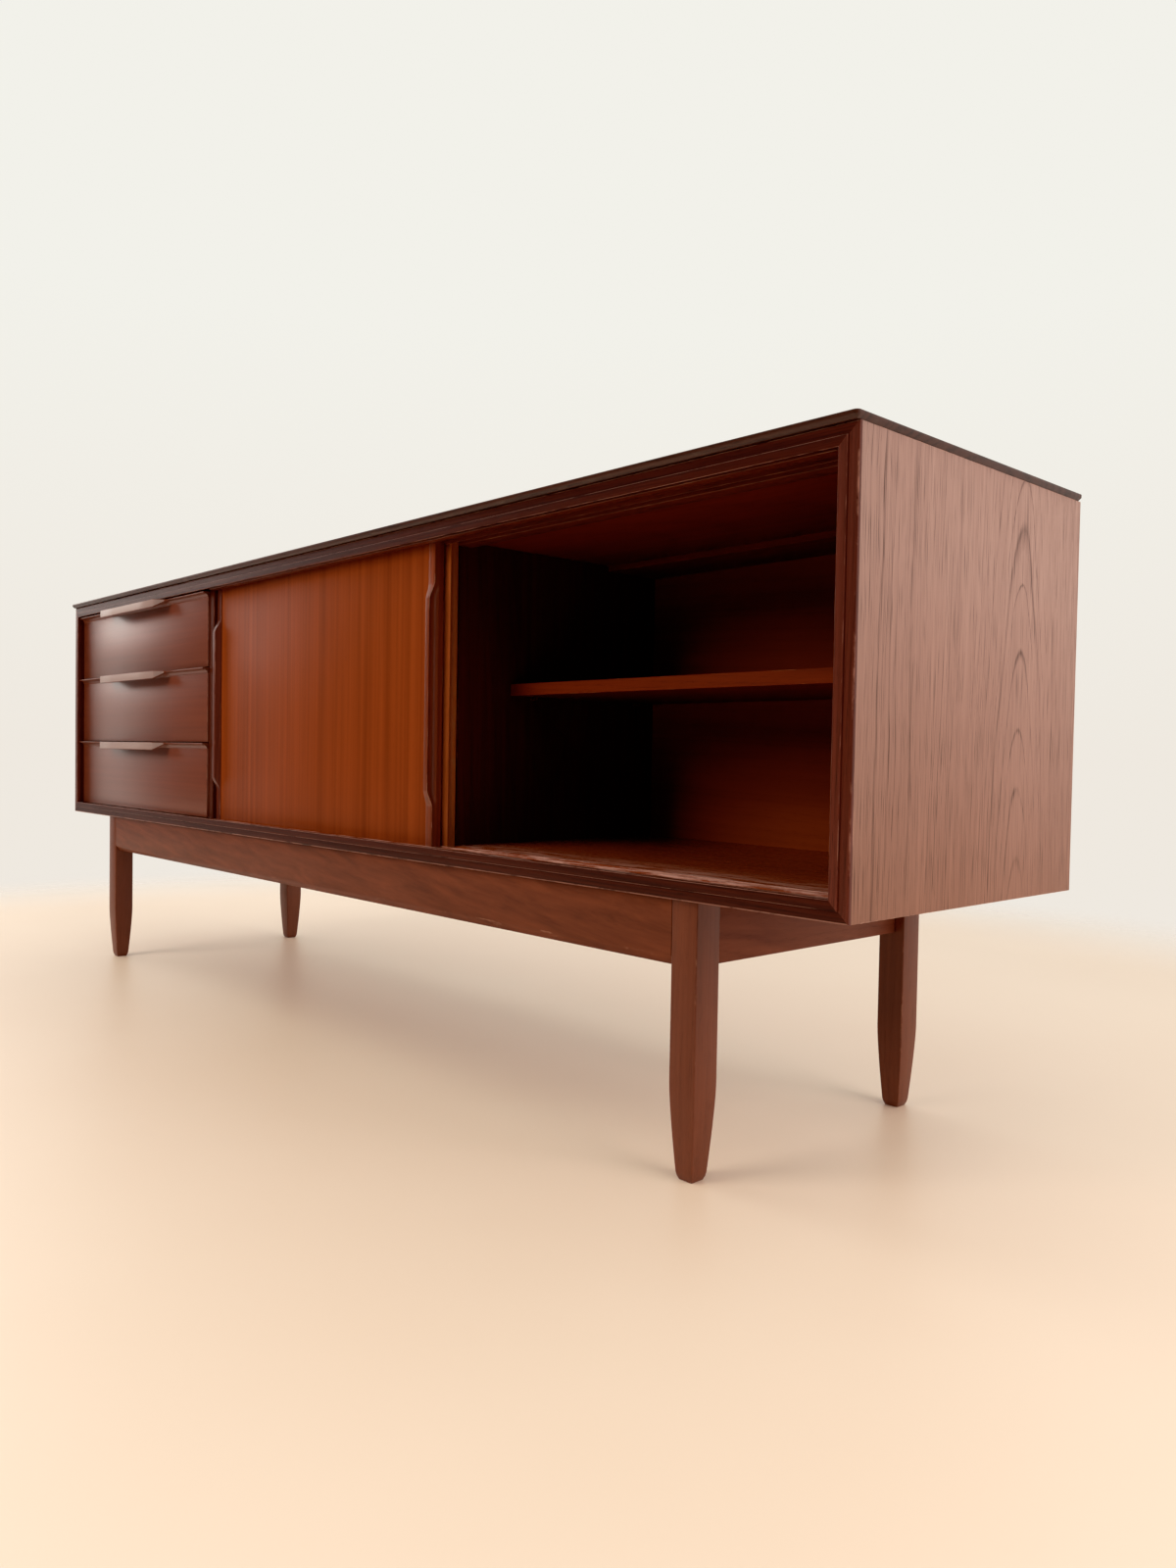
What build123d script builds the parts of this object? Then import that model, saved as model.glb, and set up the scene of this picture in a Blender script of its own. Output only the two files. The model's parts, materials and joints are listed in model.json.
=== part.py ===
from build123d import *
import os

os.makedirs("parts", exist_ok=True)

# A long low sideboard on a separate leg frame: three drawers on the left, then a bay
# with two sliding doors, divided behind them. Millimetres, +X to the right seen from
# the front, front faces -Y, origin on the floor under the middle of the overall box.

# Overall case
case_width = 1980.0
case_depth = 436.0
stand_height = 289.0
case_height = 438.5
board_thick = 20.0
top_board_thick = 7.5
top_overhang_front = 7.0
top_overhang_side = 2.5
top_corner_radius = 5.0
top_bevel = 3.6
top_edge_radius = 1.0
handle_reach = 17.0  # drawer handles stand this far in front of the frame

# Front frame moulding
band_width = 11.0
lip_width = 9.5
band_thick = 4.0
lip_proud = 2.0
moulding_radius = 1.8
lip_radius = 0.6

# Carcass boards
ceiling_thick = 14.5
floor_thick = 19.7
partition_thick = 18.0
back_ply_thick = 6.0
back_recess = 6.0
rebate_width = 8.0
batten_depth = 100.0
batten_thick = 8.0
partition_setback = 13.6
divider_setback = 52.0

# Doors and their tracks
door_thick = 12.5
door_gap = 3.0
door_setback = 20.0
door_width = 655.0
door_lift = 5.0
door_floor_clear = 2.0
door_side_clear = 2.0
strip_width = 15.0
strip_proud = 1.5
door_handle_reach = 9.5
door_handle_flat = 250.0
door_handle_ramp = 22.0
rear_door_rest = 11.0  # how far the rear door stands from its left stop
track_thick = 7.0
track_front_clear = 2.0
track_clear = 0.55
track_rear_width = 24.0
top_groove_extra = 3.0
bottom_groove = 4.5
glide_length = 50.0
glide_width = 9.0
glide_inset = 60.0
glide_clear = 0.2
rear_strip_width = 18.0
pull_depth = 4.5  # finger groove along the rear door's two edges

# Shelves
shelf_thick = 16.0
shelf_height = 203.5  # underside above the floor board
shelf_setback = 141.0
shelf_clear = 1.0
pin_radius = 2.5
pin_length = 9.0
pin_depth = 8.0
pin_inset = 40.0

# Drawers
drawer_count = 3
drawer_gap = 1.8
drawer_side_gap = 1.5
drawer_setback = 11.0
drawer_front_thick = 16.0
drawer_side_thick = 12.0
drawer_side_height = 100.0
drawer_side_rise = 8.0
drawer_length = 385.0
drawer_bottom_thick = 4.0
drawer_bottom_rise = 8.0
drawer_bottom_groove = 5.0
drawer_bottom_play = 0.2
drawer_bottom_end_play = 0.5
lip_height = 10.0
lip_reach = 9.0
lip_edge = 2.4
drawer_handle_reach = 28.0
drawer_handle_drop = 14.5
drawer_handle_flat = 248.0
drawer_handle_ramp = 28.0
runner_height = 14.0
runner_reach = 8.5
runner_length = 370.0
runner_groove_depth = 7.5
runner_groove_height = 15.0
runner_front_clear = 1.0

# Stand
leg_side = 35.0
leg_inset = 182.5
leg_setback = 9.0
leg_back_inset = 10.0
leg_taper_height = 100.0
foot_side = 22.0
foot_chamfer_height = 8.0
foot_chamfer = 3.0
leg_arris = 1.0
rail_height = 69.5
rail_thick = 22.0
rail_bevel_height = 10.5
rail_bevel_depth = 8.0
side_rail_inset = 13.0
tenon_length = 15.0
tenon_thick = 8.0
tenon_height = 50.0
block_leg = 55.0
block_height = 32.0
block_screw_near = 14.0  # from the block's two faces to its pair of screws
block_screw_far = 28.0
stand_screw_radius = 2.2
stand_screw_length = 46.0
screw_head_radius = 4.2
screw_head_height = 2.6
back_screw_radius = 1.5
back_screw_length = 15.0
back_screw_head = 3.2
back_screw_head_height = 1.8
screw_fit = 0.05

# Planes worked out from the driving sizes
half_width = case_width / 2
y_frame = -(case_depth + handle_reach) / 2 + handle_reach
y_back = y_frame + case_depth
y_board = y_frame + band_thick
z_case = stand_height
z_top = z_case + case_height
z_floor = z_case + floor_thick
z_ceiling = z_top - ceiling_thick
z_opening = z_top - band_width - lip_width
x_inside = half_width - board_thick
y_ply = y_back - back_recess - back_ply_thick
x_bay_left = -325.5
x_partition = x_bay_left - partition_thick
x_divider = 321.0
y_front_door = y_frame + door_setback
y_rear_door = y_front_door + door_thick + door_gap
z_door_bottom = z_floor - bottom_groove + door_floor_clear
y_track_end = y_rear_door + door_thick + track_clear + track_rear_width
z_track = z_ceiling - track_thick
z_door_top = z_ceiling + top_groove_extra - door_lift
z_groove = z_floor - bottom_groove
z_shelf = z_floor + shelf_height
y_shelf = y_frame + shelf_setback
drawer_pitch = (z_opening - z_floor - drawer_gap) / drawer_count
drawer_height = drawer_pitch - drawer_gap
x_drawer_left = -x_inside + drawer_side_gap
x_drawer_right = x_partition - drawer_side_gap
y_drawer_face = y_frame + drawer_setback
y_drawer_back = y_drawer_face + drawer_front_thick + drawer_length
x_leg = half_width - leg_inset
y_leg_front = y_frame + leg_setback
y_leg_back = y_back - leg_back_inset


def slab(x0, x1, y0, y1, z0, z1, mode=Mode.ADD):
    """A square-edged board between two corners, added to the open part."""
    with BuildSketch(Plane.XY.offset(z0)) as outline:
        with Locations(((x0 + x1) / 2, (y0 + y1) / 2)):
            Rectangle(x1 - x0, y1 - y0)
    extrude(outline.sketch, amount=z1 - z0, mode=mode)


def rod(plane, radius, length, mode=Mode.ADD):
    """A round bar standing on a plane, added to the open part."""
    with BuildSketch(plane) as end:
        Circle(radius)
    extrude(end.sketch, amount=length, mode=mode)


def save(piece, name):
    """Labels a finished piece and writes it under the same name."""
    piece.part.label = name
    export_step(piece.part, "parts/" + name + ".step")


# ---------------------------------------------------------------- fixings
def upward(x, y, z):
    return Plane(origin=(x, y, z), z_dir=(0, 0, 1))


def forward(x, y, z):
    return Plane(origin=(x, y, z), z_dir=(0, -1, 0))


block_corners = [
    (sx, sy, sx * (x_leg - side_rail_inset - rail_thick), y_corner)
    for sx in (-1, 1)
    for sy, y_corner in ((1, y_leg_front + rail_thick), (-1, y_leg_back - rail_thick))
]
stand_screw_points = [
    (x_corner - sx * reach_x, y_corner + sy * reach_y)
    for sx, sy, x_corner, y_corner in block_corners
    for reach_x, reach_y in ((block_screw_far, block_screw_near), (block_screw_near, block_screw_far))
]
back_edge = rebate_width / 2
back_screw_rows = [-0.92, -0.62, -0.31, 0.0, 0.31, 0.62, 0.92]
back_screw_points = [
    (share * x_inside, z)
    for share in back_screw_rows
    for z in (z_floor - back_edge, z_ceiling + back_edge)
]
back_screw_points += [
    (sx * (x_inside + back_edge), z_floor + share * (z_ceiling - z_floor))
    for sx in (-1, 1)
    for share in (0.25, 0.5, 0.75)
]
shelf_bays = {
    "left": (x_bay_left, x_divider),
    "right": (x_divider + partition_thick, x_inside),
}
shelf_pin_rows = (y_shelf + pin_inset, y_ply - pin_inset)


def back_screw_holes():
    """Pilot holes for the screws that hold the back, cut from the open part."""
    for x, z in back_screw_points:
        depth = back_screw_length - back_ply_thick + screw_fit
        rod(forward(x, y_ply, z), back_screw_radius + screw_fit, depth, mode=Mode.SUBTRACT)


def shelf_pin_holes(x, direction):
    """Blind holes for shelf pins in an upright's face, two to a face."""
    for y in shelf_pin_rows:
        mouth = Plane(origin=(x, y, z_shelf - pin_radius), z_dir=(direction, 0, 0))
        rod(mouth, pin_radius + screw_fit, pin_depth + screw_fit, mode=Mode.SUBTRACT)


# ---------------------------------------------------------------- top board
with BuildPart() as top_board:
    with BuildSketch(Plane.XY.offset(z_top)):
        with Locations((0, (y_frame - top_overhang_front + y_back) / 2)):
            RectangleRounded(
                case_width + 2 * top_overhang_side,
                case_depth + top_overhang_front,
                top_corner_radius,
            )
    extrude(amount=top_board_thick)
    chamfer(top_board.faces().sort_by(Axis.Z)[0].edges(), length=top_bevel)
    fillet(top_board.faces().sort_by(Axis.Z)[-1].edges(), radius=top_edge_radius)
save(top_board, "top_board")

# ---------------------------------------------------------------- case boards
with BuildPart() as top_panel:
    slab(-x_inside, x_inside, y_board, y_back, z_ceiling, z_top)
    slab(-x_inside, x_inside, y_ply, y_back, z_ceiling, z_ceiling + rebate_width, mode=Mode.SUBTRACT)
    for y_door, front_clear in ((y_front_door, track_front_clear), (y_rear_door, track_clear)):
        slab(
            x_bay_left,
            x_inside,
            y_door - front_clear,
            y_door + door_thick + track_clear,
            z_ceiling,
            z_ceiling + top_groove_extra,
            mode=Mode.SUBTRACT,
        )
    back_screw_holes()
save(top_panel, "top_panel")

with BuildPart() as bottom_panel:
    slab(-x_inside, x_inside, y_board, y_back, z_case, z_floor)
    slab(-x_inside, x_inside, y_ply, y_back, z_floor - rebate_width, z_floor, mode=Mode.SUBTRACT)
    for y_door, front_clear in ((y_front_door, track_front_clear), (y_rear_door, track_clear)):
        slab(
            x_bay_left,
            x_inside,
            y_door - front_clear,
            y_door + door_thick + track_clear,
            z_groove,
            z_floor,
            mode=Mode.SUBTRACT,
        )
    back_screw_holes()
    for x, y in stand_screw_points:
        pilot = stand_screw_length - block_height + screw_fit
        rod(upward(x, y, z_case), stand_screw_radius + screw_fit, pilot, mode=Mode.SUBTRACT)
save(bottom_panel, "bottom_panel")


def side_panel(side):
    """An end of the case, rebated for the back; side is -1 on the left, 1 on the right."""
    x0, x1 = sorted((side * x_inside, side * half_width))
    r0, r1 = sorted((side * x_inside, side * (x_inside + rebate_width)))
    with BuildPart() as panel:
        slab(x0, x1, y_board, y_back, z_case, z_top)
        slab(r0, r1, y_ply, y_back, z_floor - rebate_width, z_ceiling + rebate_width, mode=Mode.SUBTRACT)
        back_screw_holes()
        if side > 0:
            shelf_pin_holes(x_inside, 1)
    return panel


save(side_panel(-1), "side_panel_left")
save(side_panel(1), "side_panel_right")

with BuildPart() as drawer_partition:
    slab(x_partition, x_bay_left, y_frame + partition_setback, y_ply, z_floor, z_ceiling)
    shelf_pin_holes(x_bay_left, -1)
save(drawer_partition, "drawer_partition")

with BuildPart() as centre_divider:
    x_right = x_divider + partition_thick
    slab(x_divider, x_right, y_frame + divider_setback, y_ply, z_floor, z_ceiling)
    slab(x_divider, x_right, y_frame, y_track_end, z_track, z_ceiling, mode=Mode.SUBTRACT)
    slab(x_divider, x_right, y_ply - batten_depth, y_ply, z_ceiling - batten_thick, z_ceiling, mode=Mode.SUBTRACT)
    shelf_pin_holes(x_divider, 1)
    shelf_pin_holes(x_right, -1)
save(centre_divider, "centre_divider")

with BuildPart() as back_panel:
    slab(
        -x_inside - rebate_width,
        x_inside + rebate_width,
        y_ply,
        y_ply + back_ply_thick,
        z_floor - rebate_width,
        z_ceiling + rebate_width,
    )
    for x, z in back_screw_points:
        shank = forward(x, y_ply + back_ply_thick, z)
        rod(shank, back_screw_radius + screw_fit, back_ply_thick, mode=Mode.SUBTRACT)
save(back_panel, "back_panel")

with BuildPart() as back_batten:
    slab(x_bay_left, x_inside, y_ply - batten_depth, y_ply, z_ceiling - batten_thick, z_ceiling)
save(back_batten, "back_batten")


# ---------------------------------------------------------------- front frame
def frame_member(name, section_plane, length, mitres):
    """One side of the mitred frame: its section, run along its length and cut to the mitres."""
    with BuildPart() as member:
        with BuildSketch(section_plane) as section:
            with BuildLine():
                # across from the outer edge, out from the board edges
                Polyline(
                    (0, 0),
                    (0, band_thick),
                    (band_width, band_thick),
                    (band_width, band_thick + lip_proud),
                    (band_width + lip_width, band_thick + lip_proud),
                    (band_width + lip_width, 0),
                    close=True,
                )
            make_face()
            outer_corner = section.vertices().sort_by_distance((0, band_thick, 0)).first
            fillet(outer_corner, radius=moulding_radius)
            for across in (band_width, band_width + lip_width):
                arris = section.vertices().sort_by_distance((across, band_thick + lip_proud, 0)).first
                fillet(arris, radius=lip_radius)
        extrude(amount=length / 2, both=True)
        for corner, facing in mitres:
            split(bisect_by=Plane(origin=corner, z_dir=facing), keep=Keep.BOTTOM)
    save(member, name)


z_middle = (z_case + z_top) / 2
top_left = (-half_width, y_board, z_top)
top_right = (half_width, y_board, z_top)
bottom_left = (-half_width, y_board, z_case)
bottom_right = (half_width, y_board, z_case)
frame_member(
    "frame_top",
    Plane(origin=(0, y_board, z_top), x_dir=(0, 0, -1), z_dir=(-1, 0, 0)),
    case_width,
    [(top_right, (1, 0, -1)), (top_left, (-1, 0, -1))],
)
frame_member(
    "frame_bottom",
    Plane(origin=(0, y_board, z_case), x_dir=(0, 0, 1), z_dir=(1, 0, 0)),
    case_width,
    [(bottom_right, (1, 0, 1)), (bottom_left, (-1, 0, 1))],
)
frame_member(
    "frame_left",
    Plane(origin=(-half_width, y_board, z_middle), x_dir=(1, 0, 0), z_dir=(0, 0, -1)),
    case_height,
    [(top_left, (1, 0, 1)), (bottom_left, (1, 0, -1))],
)
frame_member(
    "frame_right",
    Plane(origin=(half_width, y_board, z_middle), x_dir=(-1, 0, 0), z_dir=(0, 0, 1)),
    case_height,
    [(top_right, (-1, 0, 1)), (bottom_right, (-1, 0, -1))],
)

# ---------------------------------------------------------------- upper door track
track_edges = {
    "door_track_front": (y_board, y_front_door - track_front_clear),
    "door_track_middle": (y_front_door + door_thick + track_clear, y_rear_door - track_clear),
    "door_track_rear": (y_rear_door + door_thick + track_clear, y_track_end),
}
for track_name, (y_near, y_far) in track_edges.items():
    with BuildPart() as track:
        slab(x_bay_left, x_inside, y_near, y_far, z_track, z_ceiling)
    save(track, track_name)

# ---------------------------------------------------------------- shelves and pins
for bay, (x_from, x_to) in shelf_bays.items():
    with BuildPart() as shelf:
        slab(
            x_from + shelf_clear,
            x_to - shelf_clear,
            y_shelf,
            y_ply - shelf_clear,
            z_shelf,
            z_shelf + shelf_thick,
        )
        front_edges = shelf.edges().filter_by(Axis.X).group_by(Axis.Y)[0]
        fillet(front_edges, radius=lip_radius)
    save(shelf, "shelf_" + bay)

with BuildPart() as shelf_pins:
    for x_from, x_to in shelf_bays.values():
        for y in shelf_pin_rows:
            for x_start in (x_from - pin_depth, x_to - pin_length):
                along = Plane(origin=(x_start, y, z_shelf - pin_radius), z_dir=(1, 0, 0))
                rod(along, pin_radius, pin_depth + pin_length)
save(shelf_pins, "shelf_pins")


# ---------------------------------------------------------------- sliding doors
def edge_strip(name, x_edge, side, y_face, sections):
    """An upright edge strip of a door, lofted between sections at rising heights.

    x_edge is the door's edge and side is 1 on the right, -1 on the left. Each section
    is a height and its points: across from the door's edge, out from the door's face.
    """
    with BuildPart() as strip:
        for (z_low, low), (z_high, high) in zip(sections, sections[1:]):
            ends = []
            for z, points in ((z_low, low), (z_high, high)):
                outline = [(x_edge - side * across, y_face - out) for across, out in points]
                with BuildSketch(Plane.XY.offset(z)) as end:
                    with BuildLine():
                        Polyline(*outline[:-2])
                        ThreePointArc(outline[-3], outline[-2], outline[-1])
                        Line(outline[-1], outline[0])
                    make_face()
                ends.append(end.sketch)
            if low is high:
                extrude(ends[0], amount=z_high - z_low)
            else:
                loft(ends, ruled=True)
    save(strip, name)


def door_panel(name, x_from, x_to, y_face):
    """The veneered panel between a door's edge strips."""
    with BuildPart() as panel:
        slab(x_from, x_to, y_face, y_face + door_thick, z_door_bottom, z_door_top)
    save(panel, name)


def door_glides(name, x_from, y_face):
    """Two wear pads under a door, running in the floor groove."""
    with BuildPart() as glides:
        y_pad = y_face + (door_thick - glide_width) / 2
        for x_pad in (x_from + glide_inset, x_from + door_width - glide_inset - glide_length):
            slab(
                x_pad,
                x_pad + glide_length,
                y_pad,
                y_pad + glide_width,
                z_groove + glide_clear,
                z_door_bottom,
            )
    save(glides, name)


# Sections of the strips: three points at the back and inner side, then the face, then
# the middle and end of the arc that turns into the door's edge.
plain_section = [
    (0, -door_thick),
    (strip_width, -door_thick),
    (strip_width, strip_proud / 2),
    (strip_width - 0.8, strip_proud),
    (0.8, strip_proud),
    (0.3, -1.6),
    (0, -5.0),
]
handle_section = [
    (0, -door_thick),
    (strip_width, -door_thick),
    (strip_width, strip_proud),
    (strip_width * 0.62, door_handle_reach),
    (0.6, door_handle_reach),
    (3.6, 3.0),
    (0, -5.0),
]
groove_section = [
    (0, -door_thick),
    (rear_strip_width, -door_thick),
    (rear_strip_width, 0),
    (0.6, 0),
    (0, -1.2),
    (pull_depth, -door_thick / 2),
    (0, -door_thick + 1.8),
]
z_grip = (z_floor + z_opening) / 2
grip_low = z_grip - door_handle_flat / 2
grip_high = z_grip + door_handle_flat / 2
handle_strip = [
    (z_door_bottom, plain_section),
    (grip_low - door_handle_ramp, plain_section),
    (grip_low, handle_section),
    (grip_high, handle_section),
    (grip_high + door_handle_ramp, plain_section),
    (z_door_top, plain_section),
]
groove_strip = [(z_door_bottom, groove_section), (z_door_top, groove_section)]

x_front_door = x_bay_left + door_side_clear
x_rear_door = x_front_door + rear_door_rest
for door, x_left, y_face, width, sections in (
    ("front_door", x_front_door, y_front_door, strip_width, handle_strip),
    ("rear_door", x_rear_door, y_rear_door, rear_strip_width, groove_strip),
):
    door_panel(door + "_panel", x_left + width, x_left + door_width - width, y_face)
    edge_strip(door + "_strip_left", x_left, -1, y_face, sections)
    edge_strip(door + "_strip_right", x_left + door_width, 1, y_face, sections)
    door_glides(door + "_glides", x_left, y_face)


# ---------------------------------------------------------------- drawers
def lip_section(x, z, reach, edge, nose, hollow):
    """Section of a drawer's top lip at one place along it, cut hollow underneath."""
    plane = Plane(origin=(x, y_drawer_face, z), x_dir=(0, -1, 0), z_dir=(-1, 0, 0))
    with BuildSketch(plane) as section:
        with BuildLine():
            Polyline(
                (0, -lip_height),
                (-drawer_front_thick, -lip_height),
                (-drawer_front_thick, 0),
                (reach, 0),
                (reach, -edge),
                (reach - nose, -edge),
            )
            ThreePointArc((reach - nose, -edge), hollow, (0, -lip_height))
        make_face()
    return section.sketch


def drawer_lip(name, z):
    """The lip along a drawer's top edge, swelling into the handle at its middle."""
    x_centre = (x_drawer_left + x_drawer_right) / 2
    flat = drawer_handle_flat / 2
    thin = (lip_reach, lip_edge, 0.8, (2.7, -4.7))
    full = (drawer_handle_reach, drawer_handle_drop, 2.5, (12.5, -5.6))
    with BuildPart() as lip:
        stretches = [
            (x_drawer_right, thin, x_centre + flat + drawer_handle_ramp, thin),
            (x_centre + flat + drawer_handle_ramp, thin, x_centre + flat, full),
            (x_centre + flat, full, x_centre - flat, full),
            (x_centre - flat, full, x_centre - flat - drawer_handle_ramp, thin),
            (x_centre - flat - drawer_handle_ramp, thin, x_drawer_left, thin),
        ]
        for x_start, start, x_end, end in stretches:
            if start is end:
                extrude(lip_section(x_start, z, *start), amount=x_start - x_end)
            else:
                loft([lip_section(x_start, z, *start), lip_section(x_end, z, *end)], ruled=True)
    save(lip, name)


def drawer_side(name, x_outer, inward, z_low):
    """A drawer side, grooved outside for its runner and inside for the drawer bottom."""
    y_near = y_drawer_face + drawer_front_thick
    z_side = z_low + drawer_side_rise
    z_runner = z_side + drawer_side_height / 2
    x_inner = x_outer + inward * drawer_side_thick
    x_runner = x_outer + inward * runner_groove_depth
    x_groove = x_inner - inward * drawer_bottom_groove
    with BuildPart() as side:
        slab(*sorted((x_outer, x_inner)), y_near, y_drawer_back, z_side, z_side + drawer_side_height)
        slab(
            *sorted((x_outer, x_runner)),
            y_near + drawer_side_thick,
            y_drawer_back,
            z_runner - runner_groove_height / 2,
            z_runner + runner_groove_height / 2,
            mode=Mode.SUBTRACT,
        )
        slab(
            *sorted((x_groove, x_inner)),
            y_near,
            y_drawer_back,
            z_side + drawer_bottom_rise,
            z_side + drawer_bottom_rise + drawer_bottom_thick + drawer_bottom_play,
            mode=Mode.SUBTRACT,
        )
    save(side, name)


drawer_names = ("drawer_bottom", "drawer_middle", "drawer_top")
for level, drawer in enumerate(drawer_names):
    z_low = z_floor + drawer_gap + level * drawer_pitch
    z_high = z_low + drawer_height
    z_base = z_low + drawer_side_rise + drawer_bottom_rise
    y_box = y_drawer_face + drawer_front_thick
    x_box_left = x_drawer_left + drawer_side_thick
    x_box_right = x_drawer_right - drawer_side_thick
    with BuildPart() as drawer_front:
        slab(x_drawer_left, x_drawer_right, y_drawer_face, y_box, z_low, z_high - lip_height)
    save(drawer_front, drawer + "_front")
    drawer_lip(drawer + "_handle_lip", z_high)
    drawer_side(drawer + "_side_left", x_drawer_left, 1, z_low)
    drawer_side(drawer + "_side_right", x_drawer_right, -1, z_low)
    with BuildPart() as drawer_back:
        slab(
            x_box_left,
            x_box_right,
            y_drawer_back - drawer_side_thick,
            y_drawer_back,
            z_base + drawer_bottom_thick,
            z_low + drawer_side_rise + drawer_side_height,
        )
    save(drawer_back, drawer + "_back")
    with BuildPart() as drawer_base:
        slab(
            x_box_left - drawer_bottom_groove + drawer_bottom_end_play,
            x_box_right + drawer_bottom_groove - drawer_bottom_end_play,
            y_box,
            y_drawer_back,
            z_base,
            z_base + drawer_bottom_thick,
        )
    save(drawer_base, drawer + "_base")

for runner_name, x_wall, inward in (("runners_left", -x_inside, 1), ("runners_right", x_partition, -1)):
    with BuildPart() as runners:
        for level in range(drawer_count):
            z_runner = z_floor + drawer_gap + level * drawer_pitch + drawer_side_rise + drawer_side_height / 2
            y_runner = y_drawer_face + drawer_front_thick + drawer_side_thick + runner_front_clear
            slab(
                *sorted((x_wall, x_wall + inward * runner_reach)),
                y_runner,
                y_runner + runner_length,
                z_runner - runner_height / 2,
                z_runner + runner_height / 2,
            )
    save(runners, "drawer_" + runner_name)


# ---------------------------------------------------------------- leg frame
def leg(name, side, y_outer, inward):
    """A square leg, tapered on all four sides to a small foot, mortised for two rails."""
    x_centre = side * (x_leg - leg_side / 2)
    y_centre = y_outer + inward * leg_side / 2
    with BuildPart() as post:
        widths = (
            (0.0, foot_side - 2 * foot_chamfer),
            (foot_chamfer_height, foot_side),
            (leg_taper_height, leg_side),
            (stand_height, leg_side),
        )
        for (z_start, w_start), (z_end, w_end) in zip(widths, widths[1:]):
            ends = []
            for z, width in ((z_start, w_start), (z_end, w_end)):
                with BuildSketch(Plane.XY.offset(z)) as end:
                    with Locations((x_centre, y_centre)):
                        RectangleRounded(width, width, leg_arris)
                ends.append(end.sketch)
            loft(ends, ruled=True)
        z_tenon = stand_height - (rail_height + tenon_height) / 2
        y_rail = y_outer + inward * rail_thick / 2
        x_rail = side * (x_leg - side_rail_inset - rail_thick / 2)
        x_mortise = sorted((side * (x_leg - leg_side), side * (x_leg - leg_side + tenon_length)))
        y_mortise = sorted((y_outer + inward * leg_side, y_outer + inward * (leg_side - tenon_length)))
        half = tenon_thick / 2
        slab(*x_mortise, y_rail - half, y_rail + half, z_tenon, z_tenon + tenon_height, mode=Mode.SUBTRACT)
        slab(x_rail - half, x_rail + half, *y_mortise, z_tenon, z_tenon + tenon_height, mode=Mode.SUBTRACT)
    save(post, name)


for side_word, side in (("left", -1), ("right", 1)):
    leg("leg_front_" + side_word, side, y_leg_front, 1)
    leg("leg_back_" + side_word, side, y_leg_back, -1)


def long_rail(name, y_outer, inward):
    """A front or back rail, bevelled under its outer edge, with a tenon at each end."""
    x_end = x_leg - leg_side
    y_inner = y_outer + inward * rail_thick
    z_low = stand_height - rail_height
    y_rail = y_outer + inward * rail_thick / 2
    z_tenon = stand_height - (rail_height + tenon_height) / 2
    with BuildPart() as rail:
        with BuildSketch(Plane.YZ):
            with BuildLine():
                Polyline(
                    (y_outer, stand_height),
                    (y_inner, stand_height),
                    (y_inner, z_low),
                    (y_outer + inward * rail_bevel_depth, z_low),
                    (y_outer, z_low + rail_bevel_height),
                    close=True,
                )
            make_face()
        extrude(amount=x_end, both=True)
        slab(
            -x_end - tenon_length,
            x_end + tenon_length,
            y_rail - tenon_thick / 2,
            y_rail + tenon_thick / 2,
            z_tenon,
            z_tenon + tenon_height,
        )
    save(rail, name)


long_rail("stand_rail_front", y_leg_front, 1)
long_rail("stand_rail_back", y_leg_back, -1)


def side_rail(name, side):
    """A short rail between a front and a back leg, set in from their outer faces."""
    x0, x1 = sorted((side * (x_leg - side_rail_inset), side * (x_leg - side_rail_inset - rail_thick)))
    x_rail = (x0 + x1) / 2
    y0 = y_leg_front + leg_side
    y1 = y_leg_back - leg_side
    z_tenon = stand_height - (rail_height + tenon_height) / 2
    with BuildPart() as rail:
        slab(x0, x1, y0, y1, stand_height - rail_height, stand_height)
        slab(
            x_rail - tenon_thick / 2,
            x_rail + tenon_thick / 2,
            y0 - tenon_length,
            y1 + tenon_length,
            z_tenon,
            z_tenon + tenon_height,
        )
    save(rail, name)


side_rail("stand_rail_left", -1)
side_rail("stand_rail_right", 1)

with BuildPart() as corner_blocks:
    for sx, sy, x_corner, y_corner in block_corners:
        with BuildSketch(Plane.XY.offset(stand_height - block_height)) as triangle:
            with BuildLine():
                Polyline(
                    (x_corner, y_corner),
                    (x_corner - sx * block_leg, y_corner),
                    (x_corner, y_corner + sy * block_leg),
                    close=True,
                )
            make_face()
        extrude(triangle.sketch, amount=block_height)
    for x, y in stand_screw_points:
        shank = upward(x, y, stand_height - block_height)
        rod(shank, stand_screw_radius + screw_fit, block_height, mode=Mode.SUBTRACT)
save(corner_blocks, "corner_blocks")

with BuildPart() as stand_screws:
    for x, y in stand_screw_points:
        z_head = stand_height - block_height
        rod(upward(x, y, z_head), stand_screw_radius, stand_screw_length)
        rod(upward(x, y, z_head - screw_head_height), screw_head_radius, screw_head_height)
save(stand_screws, "stand_screws")

with BuildPart() as back_screws:
    for x, z in back_screw_points:
        y_face = y_ply + back_ply_thick
        rod(forward(x, y_face, z), back_screw_radius, back_screw_length)
        rod(forward(x, y_face + back_screw_head_height, z), back_screw_head, back_screw_head_height)
save(back_screws, "back_screws")
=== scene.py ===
import bpy
import bmesh
import json
import math
from mathutils import Matrix, Vector


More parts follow.
